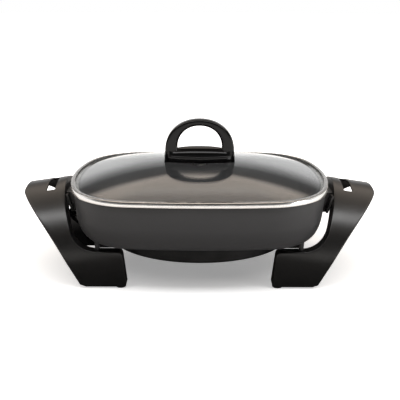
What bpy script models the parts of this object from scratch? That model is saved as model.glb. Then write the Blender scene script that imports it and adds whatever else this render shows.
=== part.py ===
"""Electric skillet: cast pan with a heater ring, two arched handle-legs and a lift-off glass lid.

Metres, +Z up. The origin is on the table under the middle of the pan.
The long sides of the pan run along X, the terminals are at the -X end.
"""
import bmesh
import bpy
from math import asin, atan2, cos, hypot, pi, radians, sin, sqrt, tan
from mathutils import Matrix, Vector

# Clearances
FIT_GAP = 0.0003
BORE_END_GAP = 0.0015
OVERRUN = 0.004

# Rim outline, shared by the pan and the lid
RIM_LENGTH = 0.381
RIM_WIDTH = 0.305
RIM_HEIGHT = 0.135
CORNER_RADIUS = 0.095
SIDE_BOW_RADIUS = 1.1
END_BOW_RADIUS = 0.300

# Pan casting
PAN_DEPTH = 0.068
PAN_SETBACK = 0.0025
PAN_DRAFT = 0.0030
PAN_TURN_IN = 0.0215
PAN_TURN_UP = 0.0405
RIM_LAND = 0.007
CAVITY_DRAFT = 0.0005
PAN_FLOOR = 0.004
LUG_DIAMETER = 0.009
LUG_ROOT = 0.003
END_BOSS_DIAMETER = 0.012
END_BOSS_PROUD = 0.004

# Heater ring under the pan
RING_END_INSET = 0.0545
RING_SIDE_INSET = 0.0295
RING_DEPTH = 0.0215
RING_BAND = 0.030
RING_DRAFT = 0.003
RING_EDGE_RADIUS = 0.005
GROOVE_DEPTH = 0.016
GROOVE_CLEARANCE = 0.0007
ELEMENT_DIAMETER = 0.008
ELEMENT_BEND_RADIUS = 0.012
NOTCH_WALL = 0.006

# Terminals and probe well at the -X end
TERMINAL_SPACING = 0.028
TERMINAL_DIAMETER = 0.006
TERMINAL_TIP_INSET = 0.009
SHEATH_END_INSET = 0.005
BEAD_DIAMETER = 0.012
BEAD_LENGTH = 0.009
WELL_DIAMETER = 0.010
WELL_BORE = 0.0065
WELL_TIP_INSET = 0.020

# Socket guard
GUARD_MOUTH_OUTSET = 0.0055
GUARD_LENGTH = 0.056
GUARD_ABOVE_PINS = 0.0346
GUARD_BELOW_PINS = 0.0189
GUARD_WALL = 0.003
GUARD_SIDE_ROOM = 0.0035
GUARD_LUG_WALL = 0.0015
GUARD_BACK_BLOCK = 0.016
GUARD_EDGE_RADIUS = 0.006
GUARD_PAN_GAP = 0.001

# Arched handle-legs
ARCH_INSET = 0.0485
ARCH_TOP_RISE = 0.0018
ARCH_TILT = radians(8.5)
WING_SKIN = 0.0036
FLANGE_DEPTH = 0.018
FLANGE_TOP_OUTSET = 0.0072
FLANGE_TOP_DROP = 0.005
FLANGE_LEAN = radians(17)
SHELF_DROP = 0.012
SHELF_TURN_RADIUS = 0.038
LEG_INNER_INSET = 0.0820
FOOT_INNER_INSET = 0.0870
FOOT_OUTER_INSET = 0.0215
LEG_RAKE = radians(61)
LEG_BOW_DROP = 0.009
LEG_BOW_RADIUS = 0.245
TIP_OUTSET = 0.0697
TIP_RADIUS = 0.004
LEG_CORNER_RADIUS = 0.006
FOOT_PLATE = 0.004
SLOT_OUTSET = 0.0285
SLOT_LENGTH = 0.071
SLOT_WIDTH = 0.0130
SLOT_CORNER_RADIUS = 0.0025
SHELF_SCREW_INSET = 0.0455

# Necks between the pan ends and the handle-legs
NECK_WIDTH = 0.076
NECK_GUARD_GAP = 0.003
NECK_TOP_DROP = 0.011
NECK_SCREW_SPACING = 0.050
NECK_SCREW_DROP = 0.007
NECK_PAD_DIAMETER = 0.011
NECK_PAD_PROUD = 0.0022

# Rubber feet
FOOT_DIAMETER = 0.015
FOOT_HEIGHT = 0.0025
FOOT_END_INSET = 0.0090
FOOT_SIDE_INSET = 0.0082
FOOT_STEM_DIAMETER = 0.006
FOOT_STEM_HEAD = 0.008
FOOT_STEM_CAP = 0.002

# Screws
SCREW_DIAMETER = 0.0036
SCREW_HEAD_DIAMETER = 0.0070
SCREW_HEAD_HEIGHT = 0.0022
SCREW_LENGTH = 0.012
NECK_SCREW_BITE = 0.006

# Lid
GLASS_THICKNESS = 0.0036
GLASS_EDGE_INSET = 0.0030
GLASS_LIP = 0.009
DOME_RISE = 0.0225
DOME_FULLNESS_SHARE = 2.2
BAND_SHEET = 0.0008
BAND_HEIGHT = 0.0078
BAND_LIP = 0.0062
BAND_EDGE_RADIUS = 0.0022
SKIRT_DEPTH = 0.0035
SKIRT_CLEARANCE = 0.0008
SEAL_LIP = 0.0052
KNOB_HOLE = 0.009

# Knob, with heights above the crown of the glass
KNOB_HEIGHT = 0.063
KNOB_FLANK = 0.0168
KNOB_HALF_WIDTH = 0.0505
KNOB_FLARE = 0.0015
KNOB_ARCH_POWER_SHARE = 2.2
KNOB_LEG = 0.0155
KNOB_BAR = 0.0094
KNOB_HOLE_MIDDLE = 0.0218
KNOB_THICKNESS = 0.018
KNOB_BEVEL = 0.0025
BASE_HALF_DEPTH = 0.019
BASE_SHOULDER = 0.0098
BASE_CROWN = 0.0203
CROWN_END_GAP = 0.0005
CROWN_HALF_DEPTH = 0.008
KNOB_SCREW_DIAMETER = 0.005
KNOB_SCREW_HEAD_DIAMETER = 0.010
KNOB_SCREW_HEAD_HEIGHT = 0.003
KNOB_SCREW_REACH = 0.009
INSERT_DIAMETER = 0.009
INSERT_LENGTH = 0.010
WASHER_DIAMETER = 0.020
WASHER_THICKNESS = 0.0012
GROMMET_FLANGE = 0.0018

# Facets
CORNER_STEPS = 7
BOW_STEPS = 2
TURN_STEPS = 6
DOME_STEPS = 6
CROWN_STEPS = 5
EDGE_STEPS = 3
RING_STEPS = 40
ARCH_STEPS = 28
ROUND_STEPS = 12
LOOP_STEPS = 24

# Levels and places worked out from the sizes above
RIM_END = RIM_LENGTH / 2
PAN_BOTTOM = RIM_HEIGHT - PAN_DEPTH
RING_LENGTH = RIM_LENGTH - 2 * RING_END_INSET
RING_WIDTH = RIM_WIDTH - 2 * RING_SIDE_INSET
RING_TOP = PAN_BOTTOM - FIT_GAP
RING_BOTTOM = RING_TOP - RING_DEPTH
ELEMENT_HEIGHT = RING_BOTTOM + GROOVE_DEPTH - FIT_GAP - ELEMENT_DIAMETER / 2
ELEMENT_HALF_LENGTH = (RING_LENGTH - RING_BAND) / 2
ELEMENT_HALF_WIDTH = (RING_WIDTH - RING_BAND) / 2
NOTCH_WIDTH = TERMINAL_SPACING + 4 * ELEMENT_BEND_RADIUS - ELEMENT_DIAMETER / 2
GUARD_MOUTH_X = RIM_END + GUARD_MOUTH_OUTSET
GUARD_BACK_X = GUARD_MOUTH_X - GUARD_LENGTH
GUARD_BOTTOM = ELEMENT_HEIGHT - GUARD_BELOW_PINS
GUARD_TOP = ELEMENT_HEIGHT + GUARD_ABOVE_PINS
GUARD_LUG_X = GUARD_BACK_X + LUG_DIAMETER / 2 + FIT_GAP + GUARD_WALL
GUARD_LUG_SPACING = TERMINAL_SPACING + BEAD_DIAMETER + LUG_DIAMETER + 2 * GUARD_LUG_WALL
GUARD_WIDTH = GUARD_LUG_SPACING + LUG_DIAMETER + 2 * (GUARD_SIDE_ROOM + GUARD_WALL)
SHEATH_END_X = GUARD_BACK_X + GUARD_BACK_BLOCK - SHEATH_END_INSET
ARCH_RADIUS = RIM_WIDTH / 2 - ARCH_INSET
FLANGE_TOP_X = RIM_END + FLANGE_TOP_OUTSET
SHELF_HEIGHT = PAN_BOTTOM - SHELF_DROP
LEG_INNER_X = RIM_END - LEG_INNER_INSET
LEG_BOW_HEIGHT = SHELF_HEIGHT - LEG_BOW_DROP
FOOT_INNER_X = RIM_END - FOOT_INNER_INSET
FOOT_OUTER_X = RIM_END - FOOT_OUTER_INSET
FOOT_X = FOOT_INNER_X + FOOT_END_INSET
FOOT_Y = ARCH_RADIUS - FOOT_SIDE_INSET
SLOT_X = RIM_END + SLOT_OUTSET
SHELF_SCREW_X = RIM_END - SHELF_SCREW_INSET
NECK_BOTTOM = GUARD_TOP + NECK_GUARD_GAP
NECK_TOP = RIM_HEIGHT - NECK_TOP_DROP
NECK_SCREW_HEIGHT = NECK_TOP - NECK_SCREW_DROP
FLANGE_AT_SCREW = FLANGE_TOP_X - (RIM_HEIGHT - FLANGE_TOP_DROP - NECK_SCREW_HEIGHT) * tan(FLANGE_LEAN)
NECK_PAD_X = FLANGE_AT_SCREW + WING_SKIN / cos(FLANGE_LEAN) + NECK_PAD_PROUD
GLASS_BOTTOM = BAND_SHEET + (BAND_HEIGHT - 2 * BAND_SHEET - GLASS_THICKNESS) / 2
GLASS_CROWN = GLASS_BOTTOM + GLASS_THICKNESS + DOME_RISE
KNOB_HOLE_HALF_WIDTH = KNOB_HALF_WIDTH - KNOB_LEG
KNOB_BASE_HALF_WIDTH = KNOB_HALF_WIDTH + KNOB_FLARE
CROWN_HALF_LENGTH = KNOB_HOLE_HALF_WIDTH - CROWN_END_GAP


def principled(name, colour, roughness, metallic=0.0):
    material = bpy.data.materials.new(name)
    material.use_nodes = True
    shader = material.node_tree.nodes["Principled BSDF"]
    shader.inputs["Base Color"].default_value = (*colour, 1.0)
    shader.inputs["Roughness"].default_value = roughness
    shader.inputs["Metallic"].default_value = metallic
    material.diffuse_color = (*colour, 1.0)
    return material


def charcoal_enamel(name):
    return principled(name, (0.045, 0.045, 0.047), 0.38)


def satin_black(name):
    return principled(name, (0.016, 0.015, 0.014), 0.42)


def gloss_black(name):
    return principled(name, (0.008, 0.008, 0.008), 0.12)


def black_rubber(name):
    return principled(name, (0.012, 0.012, 0.012), 0.85)


def bright_steel(name):
    return principled(name, (0.78, 0.77, 0.75), 0.2, 1.0)


def dull_aluminium(name):
    return principled(name, (0.35, 0.35, 0.36), 0.5, 1.0)


def brass(name):
    return principled(name, (0.6, 0.42, 0.16), 0.35, 1.0)


def white_ceramic(name):
    return principled(name, (0.78, 0.76, 0.7), 0.6)


def clear_silicone(name):
    return principled(name, (0.2, 0.2, 0.2), 0.6)


def clear_glass(name):
    material = principled(name, (0.92, 0.96, 0.95), 0.03)
    shader = material.node_tree.nodes["Principled BSDF"]
    shader.inputs["Transmission Weight"].default_value = 1.0
    return material


def arc(centre_x, centre_z, radius, start, stop, steps):
    """Points on a circle, both ends included."""
    angles = [start + (stop - start) * step / steps for step in range(steps + 1)]
    return [(centre_x + radius * cos(a), centre_z + radius * sin(a)) for a in angles]


def rim_centres():
    """Centres of the side bow, the end bow and the corner arc that touches both."""
    side_centre = Vector((0.0, RIM_WIDTH / 2 - SIDE_BOW_RADIUS))
    end_centre = Vector((RIM_LENGTH / 2 - END_BOW_RADIUS, 0.0))
    side_reach = SIDE_BOW_RADIUS - CORNER_RADIUS
    end_reach = END_BOW_RADIUS - CORNER_RADIUS
    span = end_centre - side_centre
    along = (side_reach ** 2 - end_reach ** 2 + span.length_squared) / (2 * span.length)
    across = sqrt(side_reach ** 2 - along ** 2)
    direction = span.normalized()
    corner = side_centre + direction * along + Vector((direction.y, -direction.x)) * across
    return side_centre, end_centre, corner


def rim_outline(offset):
    """Bowed rounded rectangle, moved in or out from the rim by an offset."""
    side_centre, end_centre, corner = rim_centres()
    side_angle = atan2(corner.y - side_centre.y, corner.x - side_centre.x)
    end_angle = atan2(corner.y - end_centre.y, corner.x - end_centre.x)
    quarter = arc(end_centre.x, 0.0, END_BOW_RADIUS + offset, 0.0, end_angle, BOW_STEPS)
    quarter += arc(corner.x, corner.y, CORNER_RADIUS + offset, end_angle, side_angle, CORNER_STEPS)[1:]
    quarter += arc(0.0, side_centre.y, SIDE_BOW_RADIUS + offset, side_angle, pi / 2, BOW_STEPS)[1:]
    half = quarter + [(-x, y) for x, y in reversed(quarter[:-1])]
    return half + [(x, -y) for x, y in reversed(half[1:-1])]


def ellipse(half_x, half_y, steps):
    angles = [2 * pi * step / steps for step in range(steps)]
    return [(half_x * cos(a), half_y * sin(a)) for a in angles]


def level(outline, z):
    return [(x, y, z) for x, y in outline]


def skin_rings(bm, rings, wrap=False):
    """Bridges rings of equal count, and closes the ends unless the last ring meets the first."""
    loops = [[bm.verts.new(point) for point in ring] for ring in rings]
    pairs = list(zip(loops, loops[1:]))
    if wrap:
        pairs.append((loops[-1], loops[0]))
    else:
        bm.faces.new(reversed(loops[0]))
        bm.faces.new(loops[-1])
    for low, high in pairs:
        for here in range(len(low)):
            there = (here + 1) % len(low)
            bm.faces.new((low[here], low[there], high[there], high[here]))


def ringed(rings, wrap=False):
    bm = bmesh.new()
    skin_rings(bm, rings, wrap)
    return bm


def turned(bm, profile, matrix, steps=ROUND_STEPS):
    """Adds a body turned about Z from (radius, height) points, then placed by the matrix."""
    rings = []
    for radius, height in profile:
        rings.append([matrix @ Vector((x, y, height)) for x, y in ellipse(radius, radius, steps)])
    skin_rings(bm, rings)


def turned_ring(bm, profile, matrix, steps=ROUND_STEPS):
    """Adds a body with a bore, turned about Z from a closed (radius, height) outline."""
    rings = []
    for radius, height in profile:
        rings.append([matrix @ Vector((x, y, height)) for x, y in ellipse(radius, radius, steps)])
    skin_rings(bm, rings, wrap=True)


def prism(outline, low_y, high_y, side=1):
    """An outline in XZ, mirrored to the side asked for and extruded along Y."""
    bm = bmesh.new()
    face = bm.faces.new([bm.verts.new((x * side, low_y, z)) for x, z in outline])
    moved = bmesh.ops.extrude_face_region(bm, geom=[face])["geom"]
    verts = [item for item in moved if isinstance(item, bmesh.types.BMVert)]
    bmesh.ops.translate(bm, verts=verts, vec=(0.0, high_y - low_y, 0.0))
    return bm


def block(low, high):
    size = Vector(high) - Vector(low)
    centre = (Vector(high) + Vector(low)) / 2
    bm = bmesh.new()
    bmesh.ops.create_cube(bm, size=1.0, matrix=Matrix.Translation(centre) @ Matrix.Diagonal((*size, 1.0)))
    return bm


def facing(x, y, z, direction):
    """Places a turned body: its own Z points along the direction."""
    return Matrix.Translation((x, y, z)) @ Vector(direction).to_track_quat("Z", "Y").to_matrix().to_4x4()


def finish(name, bm, material=None, smooth_angle=radians(32), parent=None):
    bmesh.ops.recalc_face_normals(bm, faces=bm.faces)
    if bm.calc_volume(signed=True) < 0:
        bmesh.ops.reverse_faces(bm, faces=bm.faces)
    mesh = bpy.data.meshes.new(name)
    bm.to_mesh(mesh)
    bm.free()
    mesh.shade_smooth()
    mesh.set_sharp_from_angle(angle=smooth_angle)
    piece = bpy.data.objects.new(name, mesh)
    bpy.context.scene.collection.objects.link(piece)
    if material:
        mesh.materials.append(material)
    piece.parent = parent
    return piece


def copies(name, bm, places, material):
    """Separate pieces of one shape, numbered, sharing a mesh."""
    first = finish(name + "_1", bm, material)
    first.matrix_world = places[0]
    for number, place in enumerate(places[1:], 2):
        copy = bpy.data.objects.new(name + "_" + str(number), first.data)
        bpy.context.scene.collection.objects.link(copy)
        copy.matrix_world = place


def boolean(piece, operation, name, bm):
    """Joins, cuts or trims a piece with a second shape, kept as a hidden guide."""
    guide = finish(name, bm, parent=piece.parent)
    guide.hide_render = True
    guide.display_type = "WIRE"
    modifier = piece.modifiers.new(name, "BOOLEAN")
    modifier.operation = operation
    modifier.object = guide
    return guide


def pan_outside(grow=0.0):
    """(offset, height) of the pan's outer wall, from the middle of its underside up to the rim."""
    flank = -PAN_SETBACK - PAN_DRAFT + grow
    turn_height = PAN_BOTTOM + PAN_TURN_UP
    turn = [pi / 2 * (1 - step / TURN_STEPS) for step in range(TURN_STEPS + 1)]
    points = [(flank - PAN_TURN_IN * (1 - cos(a)), turn_height - (PAN_TURN_UP + grow) * sin(a)) for a in turn]
    return points + [(-PAN_SETBACK + grow, RIM_HEIGHT - FIT_GAP)]


def pan_inside():
    """(offset, height) of the cooking surface, from the rim down to the floor."""
    flank = -PAN_SETBACK - RIM_LAND - CAVITY_DRAFT
    turn_height = PAN_BOTTOM + PAN_TURN_UP
    turn = [pi / 2 * step / TURN_STEPS for step in range(TURN_STEPS + 1)]
    drop = PAN_TURN_UP - PAN_FLOOR
    points = [(flank - PAN_TURN_IN * (1 - cos(a)), turn_height - drop * sin(a)) for a in turn]
    return [(-PAN_SETBACK - RIM_LAND, RIM_HEIGHT - FIT_GAP)] + points


def rim_inset(x, y):
    """How far a place lies inside the rim."""
    side_centre, end_centre, corner = rim_centres()
    place = Vector((abs(x), abs(y)))
    past_end = (corner - end_centre).cross(place - end_centre) > 0
    past_side = (place - side_centre).cross(corner - side_centre) < 0
    if past_end and past_side:
        return CORNER_RADIUS - (place - corner).length
    return min(END_BOW_RADIUS - (place - end_centre).length, SIDE_BOW_RADIUS - (place - side_centre).length)


def pan_underside(x, y):
    """Height of the pan's outer face under a place."""
    turned_share = (rim_inset(x, y) - PAN_SETBACK - PAN_DRAFT) / PAN_TURN_IN
    slope = 1 - min(1.0, max(0.0, turned_share))
    return PAN_BOTTOM + PAN_TURN_UP * (1 - sqrt(1 - slope ** 2))


def pan_rings(profile):
    return [level(rim_outline(offset), z) for offset, z in profile]


def pan_end_x(y):
    """The pan's outer face at an end, for a place y across it, on the bowed end."""
    radius = END_BOW_RADIUS - PAN_SETBACK - PAN_DRAFT
    return RIM_LENGTH / 2 - END_BOW_RADIUS + sqrt(radius ** 2 - y ** 2)


def arch_centre(x):
    """Height of the centre of the handle-legs' arch, at a distance from the middle of the pan."""
    return RIM_HEIGHT + ARCH_TOP_RISE - ARCH_RADIUS + (RIM_END - x) * tan(ARCH_TILT)


def arch_reach(radius, x, z):
    """How far an arch of a radius stands out sideways at a height."""
    return sqrt(radius ** 2 - max(0.0, z - arch_centre(x)) ** 2)


def shelf_screw_y():
    """The middle of the shelf's underside, between the skin and the shelf's free edge."""
    under = SHELF_HEIGHT - WING_SKIN
    skin = arch_reach(ARCH_RADIUS - WING_SKIN, SHELF_SCREW_X, under)
    return (skin + arch_reach(ARCH_RADIUS - FLANGE_DEPTH, SHELF_SCREW_X, under)) / 2


def shelf_lug_places():
    return [(x, y) for x in (-SHELF_SCREW_X, SHELF_SCREW_X) for y in (-shelf_screw_y(), shelf_screw_y())]


def guard_lug_places():
    return [(-GUARD_LUG_X, side * GUARD_LUG_SPACING / 2) for side in (-1, 1)]


def neck_screw_places():
    return [(end, side * NECK_SCREW_SPACING / 2) for end in (-1, 1) for side in (-1, 1)]


def screw_bore(bm, x, y, z, direction, depth):
    radius = SCREW_DIAMETER / 2 + FIT_GAP
    turned(bm, [(radius, -OVERRUN), (radius, depth)], facing(x, y, z, direction))


def build_pan():
    pan = finish("pan", ringed(pan_rings(pan_outside() + pan_inside())), charcoal_enamel("pan_enamel"))
    lugs = bmesh.new()
    bores = bmesh.new()
    for x, y in shelf_lug_places():
        low = SHELF_HEIGHT + FIT_GAP
        high = pan_underside(x, y) + LUG_ROOT
        turned(lugs, [(LUG_DIAMETER / 2, low), (LUG_DIAMETER / 2, high)], Matrix.Translation((x, y, 0)))
        screw_bore(bores, x, y, low, (0, 0, 1), SCREW_LENGTH - WING_SKIN + BORE_END_GAP)
    for x, y in guard_lug_places():
        low = GUARD_BOTTOM + GUARD_WALL + FIT_GAP
        high = pan_underside(x, y) + LUG_ROOT
        turned(lugs, [(LUG_DIAMETER / 2, low), (LUG_DIAMETER / 2, high)], Matrix.Translation((x, y, 0)))
        screw_bore(bores, x, y, low, (0, 0, 1), SCREW_LENGTH - GUARD_WALL + BORE_END_GAP)
    for end, y in neck_screw_places():
        face = pan_end_x(y) + END_BOSS_PROUD
        profile = [(END_BOSS_DIAMETER / 2, -END_BOSS_PROUD - RIM_LAND / 2), (END_BOSS_DIAMETER / 2, 0)]
        turned(lugs, profile, facing(end * face, y, NECK_SCREW_HEIGHT, (end, 0, 0)))
        screw_bore(bores, end * face, y, NECK_SCREW_HEIGHT, (-end, 0, 0), NECK_SCREW_BITE + BORE_END_GAP)
    boolean(pan, "UNION", "pan_lugs", lugs)
    boolean(pan, "DIFFERENCE", "pan_bores", bores)


def ring_ellipse(offset, z):
    return level(ellipse(RING_LENGTH / 2 + offset, RING_WIDTH / 2 + offset, RING_STEPS), z)


def build_heater_ring():
    groove = ELEMENT_DIAMETER / 2 + GROOVE_CLEARANCE
    middle = -RING_BAND / 2
    edge = RING_EDGE_RADIUS
    groove_top = RING_BOTTOM + GROOVE_DEPTH
    section = [(RING_DRAFT, RING_TOP)]
    section += arc(-edge, RING_BOTTOM + edge, edge, 0, -pi / 2, EDGE_STEPS)
    section += [(middle + groove, RING_BOTTOM), (middle + groove, groove_top)]
    section += [(middle - groove, groove_top), (middle - groove, RING_BOTTOM)]
    section += arc(edge - RING_BAND, RING_BOTTOM + edge, edge, -pi / 2, -pi, EDGE_STEPS)
    section += [(-RING_BAND - RING_DRAFT, RING_TOP)]
    rings = [ring_ellipse(offset, z) for offset, z in section]
    ring = finish("heater_ring", ringed(rings, wrap=True), dull_aluminium("ring_aluminium"))
    notch_x = RING_LENGTH / 2 - RING_BAND + NOTCH_WALL
    low = (-RING_LENGTH / 2 - RING_DRAFT - OVERRUN, -NOTCH_WIDTH / 2, RING_BOTTOM - OVERRUN)
    notch_top = ELEMENT_HEIGHT + max(ELEMENT_DIAMETER, WELL_DIAMETER) / 2 + FIT_GAP
    boolean(ring, "DIFFERENCE", "terminal_notch", block(low, (-notch_x, NOTCH_WIDTH / 2, notch_top)))


def element_path():
    """One side's half of the element, from the middle of the +X end to the sheath's end."""
    bend = ELEMENT_BEND_RADIUS
    heading = -pi / 2
    for _ in range(12):
        leave_y = TERMINAL_SPACING / 2 + bend * (1 + cos(heading))
        leave = pi - asin(leave_y / ELEMENT_HALF_WIDTH)
        heading = atan2(ELEMENT_HALF_WIDTH * cos(leave), -ELEMENT_HALF_LENGTH * sin(leave))
    facet = 2 * pi / RING_STEPS
    angles = [facet * step for step in range(RING_STEPS) if facet * (step + 0.5) < leave] + [leave]
    points = [(ELEMENT_HALF_LENGTH * cos(a), ELEMENT_HALF_WIDTH * sin(a)) for a in angles]
    centre_x = points[-1][0] + bend * sin(heading)
    centre_y = points[-1][1] - bend * cos(heading)
    points += arc(centre_x, centre_y, bend, heading + pi / 2, -pi / 2, TURN_STEPS)[1:]
    points.append((-SHEATH_END_X, points[-1][1]))
    return points


def build_heating_element():
    half = element_path()
    whole = [(x, y) for x, y in reversed(half)] + [(x, -y) for x, y in half[1:]]
    curve = bpy.data.curves.new("heating_element", "CURVE")
    curve.dimensions = "3D"
    curve.bevel_depth = ELEMENT_DIAMETER / 2
    curve.bevel_resolution = 2
    curve.use_fill_caps = True
    spline = curve.splines.new("POLY")
    spline.points.add(len(whole) - 1)
    for point, (x, y) in zip(spline.points, whole):
        point.co = (x, y, ELEMENT_HEIGHT, 1.0)
    curve.materials.append(dull_aluminium("element_sheath"))
    element = bpy.data.objects.new("heating_element", curve)
    bpy.context.scene.collection.objects.link(element)


def terminal_sides():
    return (-TERMINAL_SPACING / 2, TERMINAL_SPACING / 2)


def build_terminals():
    tip = GUARD_MOUTH_X - TERMINAL_TIP_INSET
    length = tip - SHEATH_END_X - FIT_GAP
    radius = TERMINAL_DIAMETER / 2
    pin = [(radius, 0), (radius, length - radius), (radius * cos(pi / 4), length - radius * cos(pi / 4) / 2)]
    pin.append((radius / 2, length))
    bore = radius + FIT_GAP
    bead = [(bore, 0), (BEAD_DIAMETER / 2, 0), (BEAD_DIAMETER / 2, BEAD_LENGTH), (bore, BEAD_LENGTH)]
    places = [facing(-SHEATH_END_X - FIT_GAP, y, ELEMENT_HEIGHT, (-1, 0, 0)) for y in terminal_sides()]
    shape = bmesh.new()
    turned(shape, pin, Matrix.Identity(4))
    copies("terminal_pin", shape, places, bright_steel("pin_nickel"))
    shape = bmesh.new()
    turned_ring(shape, bead, Matrix.Identity(4))
    copies("terminal_bead", shape, places, white_ceramic("bead_ceramic"))


def build_probe_well():
    start = RING_LENGTH / 2 - RING_BAND + NOTCH_WALL + FIT_GAP
    length = GUARD_MOUTH_X - WELL_TIP_INSET - start
    radius = WELL_DIAMETER / 2
    bore = WELL_BORE / 2
    well = bmesh.new()
    place = facing(-start, 0, ELEMENT_HEIGHT, (-1, 0, 0))
    turned(well, [(radius, 0), (radius, length)], place)
    piece = finish("probe_well", well, dull_aluminium("well_aluminium"))
    hollow = bmesh.new()
    turned(hollow, [(bore, radius), (bore, length + OVERRUN)], place)
    boolean(piece, "DIFFERENCE", "probe_bore", hollow)


def build_socket_guard():
    half = GUARD_WIDTH / 2
    radius = GUARD_EDGE_RADIUS
    shell = block((-GUARD_MOUTH_X, -half, GUARD_BOTTOM), (-GUARD_BACK_X, half, GUARD_TOP))
    along = [edge for edge in shell.edges if abs(edge.verts[0].co.x - edge.verts[1].co.x) > radius]
    bmesh.ops.bevel(shell, geom=along, offset=radius, segments=EDGE_STEPS, profile=0.5, affect="EDGES",
                    material=-1)
    guard = finish("socket_guard", shell, gloss_black("guard_gloss"))
    inner = block((-GUARD_MOUTH_X - OVERRUN, GUARD_WALL - half, GUARD_BOTTOM + GUARD_WALL),
                  (-GUARD_BACK_X - GUARD_BACK_BLOCK, half - GUARD_WALL, GUARD_TOP - GUARD_WALL))
    along = [edge for edge in inner.edges if abs(edge.verts[0].co.x - edge.verts[1].co.x) > radius]
    bmesh.ops.bevel(inner, geom=along, offset=radius - GUARD_WALL, segments=EDGE_STEPS, profile=0.5,
                    affect="EDGES", material=-1)
    boolean(guard, "DIFFERENCE", "guard_hollow", inner)
    boolean(guard, "DIFFERENCE", "guard_pan_clearance", pan_clearance(FIT_GAP, GUARD_PAN_GAP))
    holes = bmesh.new()
    back = GUARD_BACK_X - OVERRUN
    front = GUARD_BACK_X + GUARD_BACK_BLOCK + OVERRUN
    for y in terminal_sides():
        radius = max(BEAD_DIAMETER, ELEMENT_DIAMETER) / 2 + FIT_GAP
        turned(holes, [(radius, 0), (radius, front - back)], facing(-back, y, ELEMENT_HEIGHT, (-1, 0, 0)))
    radius = WELL_DIAMETER / 2 + FIT_GAP
    turned(holes, [(radius, 0), (radius, front - back)], facing(-back, 0, ELEMENT_HEIGHT, (-1, 0, 0)))
    boolean(guard, "DIFFERENCE", "guard_terminal_holes", holes)
    lug_holes = bmesh.new()
    for x, y in guard_lug_places():
        sleeve = LUG_DIAMETER / 2 + FIT_GAP
        hole = SCREW_DIAMETER / 2 + FIT_GAP
        floor = GUARD_BOTTOM + GUARD_WALL
        profile = [(hole, GUARD_BOTTOM - OVERRUN), (hole, floor)]
        profile += [(sleeve, floor), (sleeve, PAN_BOTTOM + OVERRUN)]
        turned(lug_holes, profile, Matrix.Translation((x, y, 0)))
    boolean(guard, "DIFFERENCE", "guard_lug_holes", lug_holes)


def pan_clearance(under_gap, side_gap):
    """The pan's outside, grown by a gap, as a cutter for what lies close to it."""
    rings = []
    for offset, z in pan_outside():
        rings.append(level(rim_outline(offset + side_gap), z - under_gap))
    rings.append(level(rim_outline(side_gap), RIM_HEIGHT + OVERRUN))
    return ringed(rings)


def flange_x(z):
    """The inner edge of a handle-leg above its turn, at a height."""
    return FLANGE_TOP_X - (RIM_HEIGHT - FLANGE_TOP_DROP - z) * tan(FLANGE_LEAN)


def shelf_turn_x():
    """Where the flat shelf of a handle-leg starts to turn up beside the pan."""
    heading = pi / 2 - FLANGE_LEAN
    end_height = SHELF_HEIGHT + SHELF_TURN_RADIUS * (1 - cos(heading))
    return flange_x(end_height) - SHELF_TURN_RADIUS * sin(heading)


def inner_edge(wall):
    """The edge that follows the pan, top to bottom, set back by a wall thickness."""
    heading = pi / 2 - FLANGE_LEAN
    top = RIM_HEIGHT + OVERRUN
    radius = SHELF_TURN_RADIUS + wall
    points = [(flange_x(top) + wall / cos(FLANGE_LEAN), top)]
    centre_z = SHELF_HEIGHT + SHELF_TURN_RADIUS
    points += arc(shelf_turn_x(), centre_z, radius, heading - pi / 2, -pi / 2, TURN_STEPS + 2)
    return points


def wing_outline():
    """Front view of a handle-leg, as an outline in X and Z."""
    corner = LEG_CORNER_RADIUS
    points = inner_edge(0.0)
    points += arc(LEG_INNER_X + corner, SHELF_HEIGHT - corner, corner, pi / 2, pi, EDGE_STEPS)
    points.append((FOOT_INNER_X, FOOT_HEIGHT + corner / 2))
    points.append((FOOT_INNER_X + corner / 2, FOOT_HEIGHT))
    points.append((FOOT_OUTER_X - corner, FOOT_HEIGHT))
    points.append((FOOT_OUTER_X + corner * cos(LEG_RAKE) / 2, FOOT_HEIGHT + corner * sin(LEG_RAKE) / 2))
    start_x = FOOT_OUTER_X + (LEG_BOW_HEIGHT - FOOT_HEIGHT) / tan(LEG_RAKE)
    centre_x = start_x + LEG_BOW_RADIUS * sin(LEG_RAKE)
    centre_z = LEG_BOW_HEIGHT - LEG_BOW_RADIUS * cos(LEG_RAKE)
    tip_x = RIM_END + TIP_OUTSET - TIP_RADIUS
    tip_z = centre_z + sqrt((LEG_BOW_RADIUS + TIP_RADIUS) ** 2 - (centre_x - tip_x) ** 2)
    turn = atan2(tip_z - centre_z, tip_x - centre_x)
    points += arc(centre_x, centre_z, LEG_BOW_RADIUS, pi / 2 + LEG_RAKE, turn, TURN_STEPS * 2)
    points += arc(tip_x, tip_z, TIP_RADIUS, turn - pi, 0.0, EDGE_STEPS)[1:]
    points.append((tip_x + TIP_RADIUS, max(RIM_HEIGHT, tip_z) + OVERRUN))
    return points


def pocket_outline():
    """The hollow side of a handle-leg in front view: it leaves a flange, a leg wall and a foot plate."""
    points = inner_edge(WING_SKIN)
    shelf = SHELF_HEIGHT - WING_SKIN
    points.append((LEG_INNER_X + WING_SKIN, shelf))
    points.append((FOOT_INNER_X + WING_SKIN, FOOT_HEIGHT + FOOT_PLATE))
    reach = FLANGE_TOP_X + ARCH_RADIUS
    return points + [(reach, FOOT_HEIGHT + FOOT_PLATE), (reach, RIM_HEIGHT + OVERRUN)]


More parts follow.
